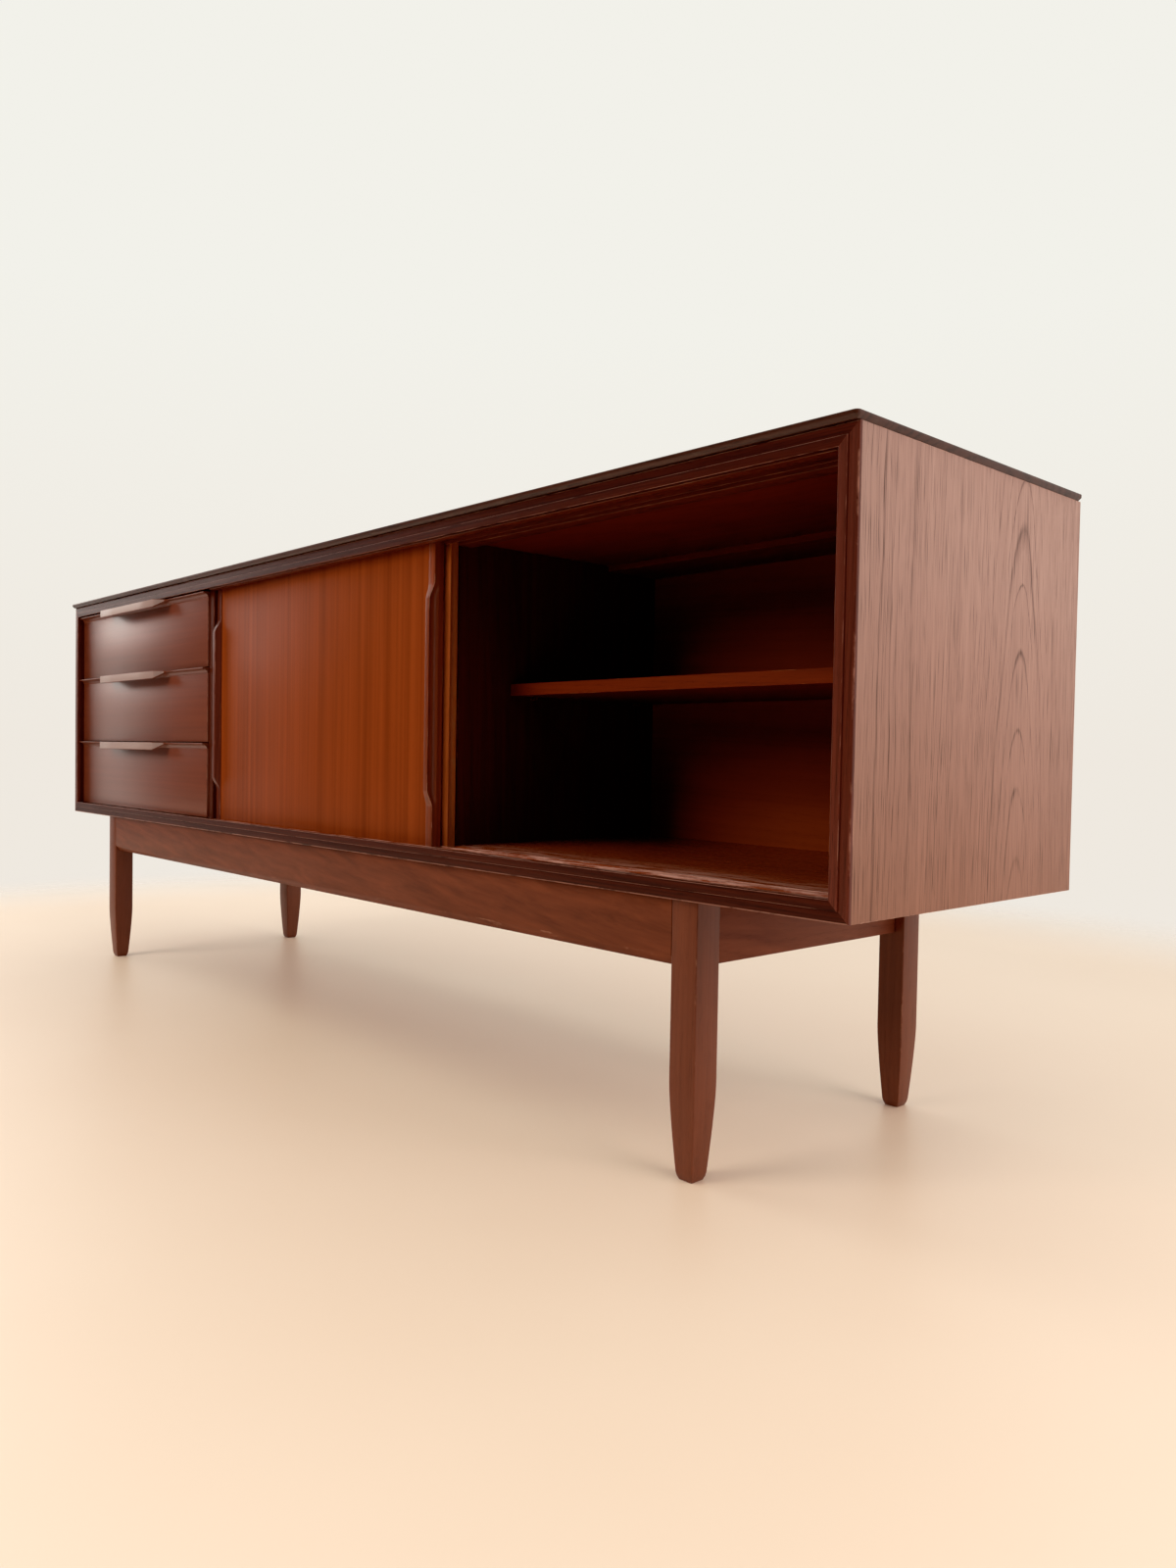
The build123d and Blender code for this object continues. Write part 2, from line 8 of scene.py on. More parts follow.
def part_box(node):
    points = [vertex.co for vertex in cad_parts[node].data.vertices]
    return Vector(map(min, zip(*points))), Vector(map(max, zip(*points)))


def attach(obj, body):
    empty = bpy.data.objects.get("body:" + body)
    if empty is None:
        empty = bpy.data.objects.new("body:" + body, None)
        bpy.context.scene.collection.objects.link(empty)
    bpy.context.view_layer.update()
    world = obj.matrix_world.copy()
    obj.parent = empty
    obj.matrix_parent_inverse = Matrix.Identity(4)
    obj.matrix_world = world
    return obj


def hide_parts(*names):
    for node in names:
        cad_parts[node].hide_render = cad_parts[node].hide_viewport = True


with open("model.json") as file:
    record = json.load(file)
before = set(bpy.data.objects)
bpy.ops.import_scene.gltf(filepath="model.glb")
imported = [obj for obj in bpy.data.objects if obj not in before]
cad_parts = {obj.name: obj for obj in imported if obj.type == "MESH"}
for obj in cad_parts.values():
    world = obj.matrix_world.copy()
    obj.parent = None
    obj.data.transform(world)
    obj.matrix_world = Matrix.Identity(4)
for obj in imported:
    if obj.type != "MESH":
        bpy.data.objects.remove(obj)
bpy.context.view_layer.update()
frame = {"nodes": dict(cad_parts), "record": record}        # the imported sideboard, in metres, standing on the floor at the origin
mm = 0.001
nodes = frame["nodes"]
crease = math.radians(28)        # edges sharper than this stay crisp
weldGap = 0.002                  # mm, points nearer than this in a made skin are one


# small helpers

def linear(hexColour):
    # sRGB hex to the linear colour that shaders want
    channels = [int(hexColour[i:i + 2], 16) / 255 for i in (1, 3, 5)]
    return [c / 12.92 if c <= 0.04045 else ((c + 0.055) / 1.055) ** 2.4 for c in channels] + [1.0]


def addNode(tree, kind, settings=None, links=None):
    # settings: a socket's name or number, or a property of the node; "stops" fills a colour ramp
    node = tree.nodes.new(kind)
    for key, value in (settings or {}).items():
        if key == "stops":
            ramp = node.color_ramp.elements
            while len(ramp) < len(value):
                ramp.new(0.5)
            for stop, (place, colour) in zip(ramp, value):
                stop.position = place
                stop.color = linear(colour) if isinstance(colour, str) else [colour] * 3 + [1.0]
        elif isinstance(key, int) or key in node.inputs:
            node.inputs[key].default_value = value
        else:
            setattr(node, key, value)
    for key, source in (links or {}).items():
        tree.links.new(source, node.inputs[key])
    return node


def pieceName(node):
    first, *rest = node.split("_")
    return first + "".join(word.capitalize() for word in rest)


def newPiece(name, shape, material, body):
    # turns a finished bmesh into an object at the origin and gives it its finish
    mesh = bpy.data.meshes.new(name)
    shape.to_mesh(mesh)
    shape.free()
    piece = bpy.data.objects.new(name, mesh)
    bpy.context.scene.collection.objects.link(piece)
    mesh.materials.append(material)
    mesh.shade_smooth()
    mesh.set_sharp_from_angle(angle=crease)
    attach(piece, body)
    return piece


def bodyOf(node):
    bodies = frame["record"]["behaviour"]["bodies"]
    return next(body for body, members in bodies.items() if node in members)


slotOf = {part["node"]: part["material_slot"] for part in frame["record"]["subparts"]}


# camera, floor and light

view = {
    "place": (1.5466, -1.0350, 0.4367),
    "right": (0.67804, 0.73483, 0.01725),
    "up": (-0.03281, 0.00681, 0.99943),
    "lens": 25.62,
    "sensor": 36,
}


def makeCamera(s):
    lens = bpy.data.cameras.new("camera")
    lens.lens = s["lens"]
    lens.sensor_width = s["sensor"]
    lens.sensor_fit = "AUTO"
    lens.clip_start = 0.02
    camera = bpy.data.objects.new("camera", lens)
    bpy.context.scene.collection.objects.link(camera)
    right, up = Vector(s["right"]).normalized(), Vector(s["up"]).normalized()
    back = right.cross(up).normalized()
    turn = Matrix((right, back.cross(right), back)).transposed()
    camera.matrix_world = Matrix.Translation(s["place"]) @ turn.to_4x4()
    bpy.context.scene.camera = camera


studio = {
    "floorReach": 3.2,
    "floorTone": "#edd9c6",
    "floorCloud": "#e6cfba",
    "cloudsPerMetre": 1.6,
    "floorRoughness": 0.42,
    "fadeFrom": 1.45,           # metres from the middle, where the floor starts to melt into the wall
    "fadeTo": 2.3,
    "wall": "#f2f1ea",
    "wallLow": "#efe9e0",
    "wallRise": (0.0, 0.35),    # how steeply one looks up where the wall goes from low to full tone
    "room": "#352e29",          # the darker side, in front of the sideboard
    "ceiling": (0.4, 0.75),     # how steeply one looks up where the bright ceiling begins
    "wallSlant": -0.12,         # the bright walls reach further forward on the left
    "wallEnd": (-0.3, -0.19),
    "worldPower": 1.14,
    # deep shadows drop a little, as in a contrasty print; both ends of the curve stay put
    "toneCurve": [(0.008, 0.0025), (0.02, 0.0115), (0.05, 0.038), (0.15, 0.13), (0.3, 0.275), (0.5, 0.49)],
    "lamps": [
        # name, place, aimed at, size in metres, watts, colour, mirrored in the satin wood
        ("window", (-0.9, -3.6, 2.1), (0.2, 0.0, 0.35), 2.0, 88, "#fff6ea", False),
        ("sideWindow", (3.5, 0.3, 1.5), (0.9, -0.1, 0.35), 1.8, 42, "#fff4ec", False),
        ("leftGlow", (-3.5, -0.8, 1.75), (-0.8, -0.2, 0.5), 1.8, 18, "#fff8f2", True),
    ],
}


def makeStudio(s):
    shape = bmesh.new()
    bmesh.ops.create_grid(shape, x_segments=8, y_segments=8, size=s["floorReach"])
    mesh = bpy.data.meshes.new("floor")
    shape.to_mesh(mesh)
    shape.free()
    floor = bpy.data.objects.new("floor", mesh)
    bpy.context.scene.collection.objects.link(floor)
    material = bpy.data.materials.new("paleFloor")
    material.use_nodes = True
    tree = material.node_tree
    shader = tree.nodes["Principled BSDF"]
    place = addNode(tree, "ShaderNodeTexCoord")
    far = addNode(tree, "ShaderNodeVectorMath", {"operation": "LENGTH"}, {0: place.outputs["Object"]})
    fade = addNode(tree, "ShaderNodeMapRange",
                   {"interpolation_type": "SMOOTHSTEP", "From Min": s["fadeFrom"], "From Max": s["fadeTo"],
                    "To Min": 1.0, "To Max": 0.0},
                   {"Value": far.outputs["Value"]})
    cloud = addNode(tree, "ShaderNodeTexNoise", {"Scale": s["cloudsPerMetre"], "Detail": 3.0},
                    {"Vector": place.outputs["Object"]})
    tone = addNode(tree, "ShaderNodeMix",
                   {"data_type": "RGBA", 6: linear(s["floorTone"]), 7: linear(s["floorCloud"])},
                   {0: cloud.outputs["Fac"]})
    tree.links.new(tone.outputs[2], shader.inputs["Base Color"])
    tree.links.new(fade.outputs["Result"], shader.inputs["Alpha"])
    shader.inputs["Roughness"].default_value = s["floorRoughness"]
    mesh.materials.append(material)

    world = bpy.data.worlds.new("studio")
    bpy.context.scene.world = world
    world.use_nodes = True
    tree = world.node_tree
    tree.nodes.clear()
    direction = addNode(tree, "ShaderNodeTexCoord")
    parts = addNode(tree, "ShaderNodeSeparateXYZ", None, {0: direction.outputs["Generated"]})
    leftward = addNode(tree, "ShaderNodeMath", {"operation": "MINIMUM", 1: 0.0}, {0: parts.outputs["X"]})
    depth = addNode(tree, "ShaderNodeMath", {"operation": "MULTIPLY_ADD", 1: s["wallSlant"]},
                    {0: leftward.outputs[0], 2: parts.outputs["Y"]})
    side = addNode(tree, "ShaderNodeMapRange",
                   {"interpolation_type": "SMOOTHSTEP",
                    "From Min": s["wallEnd"][0], "From Max": s["wallEnd"][1]},
                   {"Value": depth.outputs[0]})
    rise = addNode(tree, "ShaderNodeMapRange",
                   {"From Min": s["wallRise"][0], "From Max": s["wallRise"][1]},
                   {"Value": parts.outputs["Z"]})
    wall = addNode(tree, "ShaderNodeMix",
                   {"data_type": "RGBA", 6: linear(s["wallLow"]), 7: linear(s["wall"])},
                   {0: rise.outputs["Result"]})
    ceiling = addNode(tree, "ShaderNodeMapRange",
                      {"interpolation_type": "SMOOTHSTEP",
                       "From Min": s["ceiling"][0], "From Max": s["ceiling"][1]},
                      {"Value": parts.outputs["Z"]})
    bright = addNode(tree, "ShaderNodeMath", {"operation": "MAXIMUM"},
                     {0: side.outputs["Result"], 1: ceiling.outputs["Result"]})
    rays = addNode(tree, "ShaderNodeLightPath")      # the backdrop itself is pale all round
    backdrop = addNode(tree, "ShaderNodeMath", {"operation": "MAXIMUM"},
                       {0: bright.outputs[0], 1: rays.outputs["Is Camera Ray"]})
    power = addNode(tree, "ShaderNodeMapRange", {"To Min": s["worldPower"], "To Max": 1.0},
                    {"Value": rays.outputs["Is Camera Ray"]})
    tone = addNode(tree, "ShaderNodeMix",
                   {"data_type": "RGBA", 6: linear(s["room"])},
                   {0: backdrop.outputs[0], 7: wall.outputs[2]})
    glow = addNode(tree, "ShaderNodeBackground", None,
                   {"Color": tone.outputs[2], "Strength": power.outputs["Result"]})
    addNode(tree, "ShaderNodeOutputWorld", None, {"Surface": glow.outputs[0]})

    for name, place, target, size, watts, colour, mirrored in s["lamps"]:
        lamp = bpy.data.lights.new(name, "AREA")
        lamp.shape = "SQUARE"
        lamp.size = size
        lamp.energy = watts
        lamp.color = linear(colour)[:3]
        lampObject = bpy.data.objects.new(name, lamp)
        bpy.context.scene.collection.objects.link(lampObject)
        aim = (Vector(target) - Vector(place)).to_track_quat("-Z", "Y")
        lampObject.matrix_world = Matrix.Translation(place) @ aim.to_matrix().to_4x4()
        lampObject.visible_glossy = mirrored
    look = bpy.context.scene.view_settings
    look.view_transform = "Standard"
    look.use_curve_mapping = True
    curve = look.curve_mapping.curves[3]
    for level, value in s["toneCurve"]:
        curve.points.new(level, value)
    look.curve_mapping.update()


makeCamera(view)
makeStudio(studio)
print("camera, floor and light are set")


# wood
# Every wood is the same idea: growth rings cut by the board, ribbons, open pores and a finish.
# Sizes are real millimetres; pores are drawn about 0.8 mm wide, coarser than the real 0.2 mm,
# so that they show at this distance.

grainTurns = {
    # how the object's axes turn so that the grain runs along the pattern's X
    "X": (0.0, 0.0, 0.0),
    "Y": (0.0, 0.0, math.radians(-90)),
    "Z": (0.0, math.radians(90), 0.0),
}

woodDefaults = {
    "grain": "X",
    "light": "#93421d",
    "dark": "#6a2a10",
    "pore": "#3a170a",
    "ringWidth": 9.0,        # mm
    "ringCentre": (0.0, 0.0, -120.0),   # the tree's heart, mm, in the pattern's axes
    "ringTilt": 0.05,        # how much the board leans against the heart: gives cathedrals
    "ringDepth": 0.35,       # how strong rings show
    "ringFade": 0.0,         # how much the rings come and go in patches
    "ringStart": 0.55,       # where in a year the dark wood starts, out of 1
    "ringPale": 0.15,        # how dark the palest wood of a year is
    "ringWarp": 14.0,        # mm
    "ribbonWidth": 7.0,      # mm
    "ribbonLength": 400.0,   # mm
    "ribbonDepth": 0.5,
    "ribbonDetail": 5.0,
    "slant": 0.0,            # how far the ribbons climb for each mm along the board
    "drift": 0.0,            # mm the ribbons wander sideways
    "poreLength": 16.0,      # mm
    "poreWidth": 0.8,        # mm
    "poreShare": 0.45,
    "poreLean": 0.12,        # how much the pores keep to the dark rings
    "poreDepth": 0.6,
    "poreRough": 0.2,        # how much rougher a pore is
    "cloud": 0.25,           # slow change of tone over a hand's width
    "roughness": (0.32, 0.44),
    "specular": 0.25,
    "coat": 0.0,
    "coatRoughness": 0.25,
    "bump": 0.12,
    "bumpDepth": 0.4,        # mm
    "wornTone": "#b07a5c",
    "worn": 0.55,            # how much of an arris is rubbed light; on the frame and the drawer lips partly a painted highlight
    "scuff": None,           # where a surface is scuffed and painted with a pale sheen: (axis, from mm, to mm)
    "scuffRough": 0.25,      # how much rougher a scuff is
    "ageing": None,          # painted shade: an end made browner where less light falls: (axis, from mm, to mm, shade tone)
}

patternSizes = {
    # mm along, across and through the board
    "bend": (330, 90, 90),
    "drift": (150, 40, 40),
    "cloud": (260, 110, 110),
    "patch": (240, 45, 45),
    "rub": (38, 14, 14),
    "scuff": (90, 11, 11),
}


def streaks(tree, source, size, noise, shift=(0.0, 0.0, 0.0)):
    # noise whose spots are this many millimetres long, wide and deep
    stretched = addNode(tree, "ShaderNodeMapping",
                        {"Scale": [1 / length for length in size], "Location": shift}, {"Vector": source})
    spots = addNode(tree, "ShaderNodeTexNoise", {"Scale": 1.0, **noise}, {"Vector": stretched.outputs[0]})
    return spots.outputs["Fac"]


def fadeAlong(tree, place, axis, start, end, near, far):
    # a value that goes from near to far between two places, in mm, along one of the object's axes
    metres = addNode(tree, "ShaderNodeSeparateXYZ", None, {0: place})
    fade = addNode(tree, "ShaderNodeMapRange",
                   {"From Min": start * mm, "From Max": end * mm, "To Min": near, "To Max": far},
                   {"Value": metres.outputs[axis]})
    return fade.outputs["Result"]


def makeWood(name, **changes):
    s = {**woodDefaults, **changes}
    material = bpy.data.materials.new(name)
    material.use_nodes = True
    tree = material.node_tree
    shader = tree.nodes["Principled BSDF"]
    place = addNode(tree, "ShaderNodeTexCoord").outputs["Object"]
    board = addNode(tree, "ShaderNodeMapping",
                    {"vector_type": "POINT", "Rotation": grainTurns[s["grain"]], "Scale": (1000, 1000, 1000)},
                    {"Vector": place}).outputs[0]     # millimetres, grain along X
    axes = addNode(tree, "ShaderNodeSeparateXYZ", None, {0: board})

    # slow bending of the whole figure
    bend = streaks(tree, board, patternSizes["bend"], {"Detail": 2.0, "Roughness": 0.45})
    bendMm = addNode(tree, "ShaderNodeMath",
                     {"operation": "MULTIPLY_ADD", 1: 2 * s["ringWarp"], 2: -s["ringWarp"]}, {0: bend})

    # growth rings: distance from the heart of the tree, which leans against the board
    centre = s["ringCentre"]
    across = addNode(tree, "ShaderNodeMath", {"operation": "SUBTRACT", 1: centre[1]}, {0: axes.outputs["Y"]})
    acrossBent = addNode(tree, "ShaderNodeMath", {"operation": "ADD"},
                         {0: across.outputs[0], 1: bendMm.outputs[0]})
    lift = -centre[0] * s["ringTilt"] - centre[2]
    along = addNode(tree, "ShaderNodeMath", {"operation": "MULTIPLY_ADD", 1: s["ringTilt"], 2: lift},
                    {0: axes.outputs["X"]})
    depth = addNode(tree, "ShaderNodeMath", {"operation": "ADD"}, {0: along.outputs[0], 1: axes.outputs["Z"]})
    acrossSquare = addNode(tree, "ShaderNodeMath", {"operation": "MULTIPLY"},
                           {0: acrossBent.outputs[0], 1: acrossBent.outputs[0]})
    radiusSquare = addNode(tree, "ShaderNodeMath", {"operation": "MULTIPLY_ADD"},
                           {0: depth.outputs[0], 1: depth.outputs[0], 2: acrossSquare.outputs[0]})
    radius = addNode(tree, "ShaderNodeMath", {"operation": "SQRT"}, {0: radiusSquare.outputs[0]})
    yearNoise = addNode(tree, "ShaderNodeTexNoise",
                        {"noise_dimensions": "1D", "Scale": 1 / (2.6 * s["ringWidth"]), "Detail": 2.0},
                        {"W": radius.outputs[0]})       # some years grow wider than others
    unevenRadius = addNode(tree, "ShaderNodeMath", {"operation": "MULTIPLY_ADD", 1: 3.0 * s["ringWidth"]},
                           {0: yearNoise.outputs["Fac"], 2: radius.outputs[0]})
    ringCount = addNode(tree, "ShaderNodeMath", {"operation": "DIVIDE", 1: s["ringWidth"]},
                        {0: unevenRadius.outputs[0]})
    phase = addNode(tree, "ShaderNodeMath", {"operation": "FRACT"}, {0: ringCount.outputs[0]})
    pale, start = s["ringPale"], s["ringStart"]
    knee = 2 * pale if start < 0.7 else pale        # wood that darkens early darkens gradually
    darkest = 0.6 * start + 0.44
    ring = addNode(tree, "ShaderNodeValToRGB",
                   {"stops": [(0.0, pale), (start, knee), (darkest, 1.0), (1.0, pale)]},
                   {"Fac": phase.outputs[0]})
    patch = streaks(tree, board, patternSizes["patch"], {"Detail": 2.0}, shift=(3.1, 0.7, 5.2))
    ringShow = addNode(tree, "ShaderNodeMapRange",
                       {"From Min": 0.4, "From Max": 0.62, "To Min": 1.0 - s["ringFade"]}, {"Value": patch})
    ringSeen = addNode(tree, "ShaderNodeMath", {"operation": "MULTIPLY"},
                       {0: ring.outputs["Color"], 1: ringShow.outputs["Result"]})

    # ribbons: long streaks of lighter and darker wood, which may drift sideways
    drift = streaks(tree, board, patternSizes["drift"], {"Detail": 1.0})
    wander = addNode(tree, "ShaderNodeMath",
                     {"operation": "MULTIPLY_ADD", 1: 2 * s["drift"], 2: -s["drift"]}, {0: drift})
    driftMm = addNode(tree, "ShaderNodeMath", {"operation": "MULTIPLY_ADD", 1: s["slant"]},
                      {0: axes.outputs["X"], 2: wander.outputs[0]})
    driftVector = addNode(tree, "ShaderNodeCombineXYZ", None,
                          {"Y": driftMm.outputs[0], "Z": driftMm.outputs[0]})
    drifted = addNode(tree, "ShaderNodeVectorMath", {"operation": "ADD"},
                      {0: board, 1: driftVector.outputs[0]})
    ribbonNoise = streaks(tree, drifted.outputs[0], (s["ribbonLength"], s["ribbonWidth"], s["ribbonWidth"]),
                          {"Detail": s["ribbonDetail"], "Roughness": 0.62})
    ribbon = addNode(tree, "ShaderNodeMapRange", {"From Min": 0.32, "From Max": 0.68}, {"Value": ribbonNoise})

    # rings, ribbons and clouds of tone together
    cloud = streaks(tree, board, patternSizes["cloud"], {"Detail": 3.0, "Roughness": 0.5})
    ringPart = addNode(tree, "ShaderNodeMath", {"operation": "MULTIPLY", 1: s["ringDepth"]},
                       {0: ringSeen.outputs[0]})
    ribbonPart = addNode(tree, "ShaderNodeMath", {"operation": "MULTIPLY_ADD", 1: s["ribbonDepth"]},
                         {0: ribbon.outputs["Result"], 2: ringPart.outputs[0]})
    toneSum = addNode(tree, "ShaderNodeMath",
                      {"operation": "MULTIPLY_ADD", 1: s["cloud"], "use_clamp": True},
                      {0: cloud, 2: ribbonPart.outputs[0]})
    wood = addNode(tree, "ShaderNodeMix", {"data_type": "RGBA", 6: linear(s["light"]), 7: linear(s["dark"])},
                   {0: toneSum.outputs[0]})

    # open pores: short dark flecks along the grain, thicker where a ring is dark
    poreNoise = streaks(tree, board, (s["poreLength"], s["poreWidth"], s["poreWidth"]),
                        {"Detail": 1.0, "Roughness": 0.4})
    poreLean = addNode(tree, "ShaderNodeMath", {"operation": "MULTIPLY_ADD", 1: s["poreLean"]},
                       {0: ringSeen.outputs[0], 2: poreNoise})
    poreEdge = 0.82 - 0.3 * s["poreShare"]
    pores = addNode(tree, "ShaderNodeMapRange", {"From Min": poreEdge - 0.06, "From Max": poreEdge + 0.08},
                    {"Value": poreLean.outputs[0]})
    poreMix = addNode(tree, "ShaderNodeMath", {"operation": "MULTIPLY", 1: s["poreDepth"]},
                      {0: pores.outputs["Result"]})
    colour = addNode(tree, "ShaderNodeMix", {"data_type": "RGBA", 7: linear(s["pore"])},
                     {0: poreMix.outputs[0], 6: wood.outputs[2]}).outputs[2]

    # painted shade: the wood is darkened towards one end, where less light reaches it
    if s["ageing"]:
        axis, start, end, shadeTone = s["ageing"]
        shadeAmount = fadeAlong(tree, place, axis, start, end, 0.0, 1.0)
        colour = addNode(tree, "ShaderNodeMix",
                         {"data_type": "RGBA", "blend_type": "MULTIPLY", 7: linear(shadeTone)},
                         {0: shadeAmount, 6: colour}).outputs[2]

    # rubbed arrises, in uneven lengths, where the piece's own attribute marks an edge; on the frame mouldings
    # and the drawer lips this pale tone is partly a painted highlight
    edge = addNode(tree, "ShaderNodeAttribute", {"attribute_type": "GEOMETRY", "attribute_name": "arris"})
    rub = streaks(tree, board, patternSizes["rub"], {"Detail": 4.0, "Roughness": 0.65})
    rubEdge = 0.72 - 0.45 * s["worn"]
    rubbed = addNode(tree, "ShaderNodeMapRange", {"From Min": rubEdge, "From Max": rubEdge + 0.14},
                     {"Value": rub})
    worn = addNode(tree, "ShaderNodeMath", {"operation": "MULTIPLY"},
                   {0: edge.outputs["Fac"], 1: rubbed.outputs["Result"]})
    colour = addNode(tree, "ShaderNodeMix", {"data_type": "RGBA", 7: linear(s["wornTone"])},
                     {0: worn.outputs[0], 6: colour}).outputs[2]

    polish = addNode(tree, "ShaderNodeMapRange",
                     {"To Min": s["roughness"][0], "To Max": s["roughness"][1]}, {"Value": cloud})
    rough = addNode(tree, "ShaderNodeMath",
                    {"operation": "MULTIPLY_ADD", 1: s["poreRough"], "use_clamp": True},
                    {0: poreMix.outputs[0], 2: polish.outputs["Result"]}).outputs[0]

    # scuffs in the pale edge tone: partly wear, partly a painted sheen of reflected light
    if s["scuff"]:
        axis, start, end = s["scuff"]
        reach = fadeAlong(tree, place, axis, start, end, 1.0, 0.0)
        marks = streaks(tree, board, patternSizes["scuff"], {"Detail": 6.0, "Roughness": 0.7})
        markEdge = addNode(tree, "ShaderNodeMapRange", {"From Min": 0.46, "From Max": 0.58}, {"Value": marks})
        mark = addNode(tree, "ShaderNodeMath", {"operation": "MULTIPLY"},
                       {0: reach, 1: markEdge.outputs["Result"]})
        colour = addNode(tree, "ShaderNodeMix", {"data_type": "RGBA", 7: linear(s["wornTone"])},
                         {0: mark.outputs[0], 6: colour}).outputs[2]
        rough = addNode(tree, "ShaderNodeMath", {"operation": "MULTIPLY_ADD", 1: s["scuffRough"]},
                        {0: mark.outputs[0], 2: rough}).outputs[0]

    height = addNode(tree, "ShaderNodeMath", {"operation": "SUBTRACT", 0: 1.0}, {1: pores.outputs["Result"]})
    bump = addNode(tree, "ShaderNodeBump", {"Strength": s["bump"], "Distance": s["bumpDepth"] * mm},
                   {"Height": height.outputs[0]})
    tree.links.new(colour, shader.inputs["Base Color"])
    tree.links.new(rough, shader.inputs["Roughness"])
    tree.links.new(bump.outputs[0], shader.inputs["Normal"])
    shader.inputs["Specular IOR Level"].default_value = s["specular"]
    shader.inputs["Coat Weight"].default_value = s["coat"]
    shader.inputs["Coat Roughness"].default_value = s["coatRoughness"]
    return material


# sliced teak veneer under an old matt oil: pale, pinkish, pores open; browner towards the bottom as painted
# shade, where less light falls
sideLook = {
    "grain": "Z", "light": "#b08e82", "dark": "#88655a", "pore": "#4d3029",
    "ringTilt": 0.085, "ringWidth": 6.0, "ringDepth": 0.42, "ringFade": 0.5, "ringStart": 0.8,
    "ringWarp": 16.0, "ribbonWidth": 5.0, "ribbonDepth": 0.35,
    "poreShare": 0.46, "poreLean": 0.22, "poreDepth": 0.85, "poreLength": 60.0, "poreWidth": 0.65,
    "roughness": (0.5, 0.62), "specular": 0.45, "bump": 0.3, "wornTone": "#c79a86",
    # painted shade on the lower part of the side panels
    "ageing": ("Z", 620.0, 290.0, "#e4cdbd"),
}
sideLeft = makeWood("mattOiledTeakVeneerLeft", ringCentre=(-20.0, 60.0, 990.0), **sideLook)

# plain hardwood drawer boxes, sealed and pale
boxLook = {
    "light": "#c7a273", "dark": "#a98353", "pore": "#8a6238", "ringDepth": 0.2, "ribbonWidth": 4.0,
    "ribbonDepth": 0.4, "poreDepth": 0.3, "roughness": (0.45, 0.6), "wornTone": "#d2b48c",
}
boxSide = makeWood("sealedRaminBoxSide", grain="Y", **boxLook)

# plain waxed hardwood for runners and corner blocks
runnerLook = {
    "light": "#b98a5e", "dark": "#976a42", "pore": "#7a5230", "ringDepth": 0.25, "ribbonDepth": 0.3,
    "poreDepth": 0.3, "roughness": (0.4, 0.5), "coat": 0.1, "wornTone": "#c9a078",
}
runnerFinish = makeWood("waxedBeechRunnerStrip", grain="Y", **runnerLook)

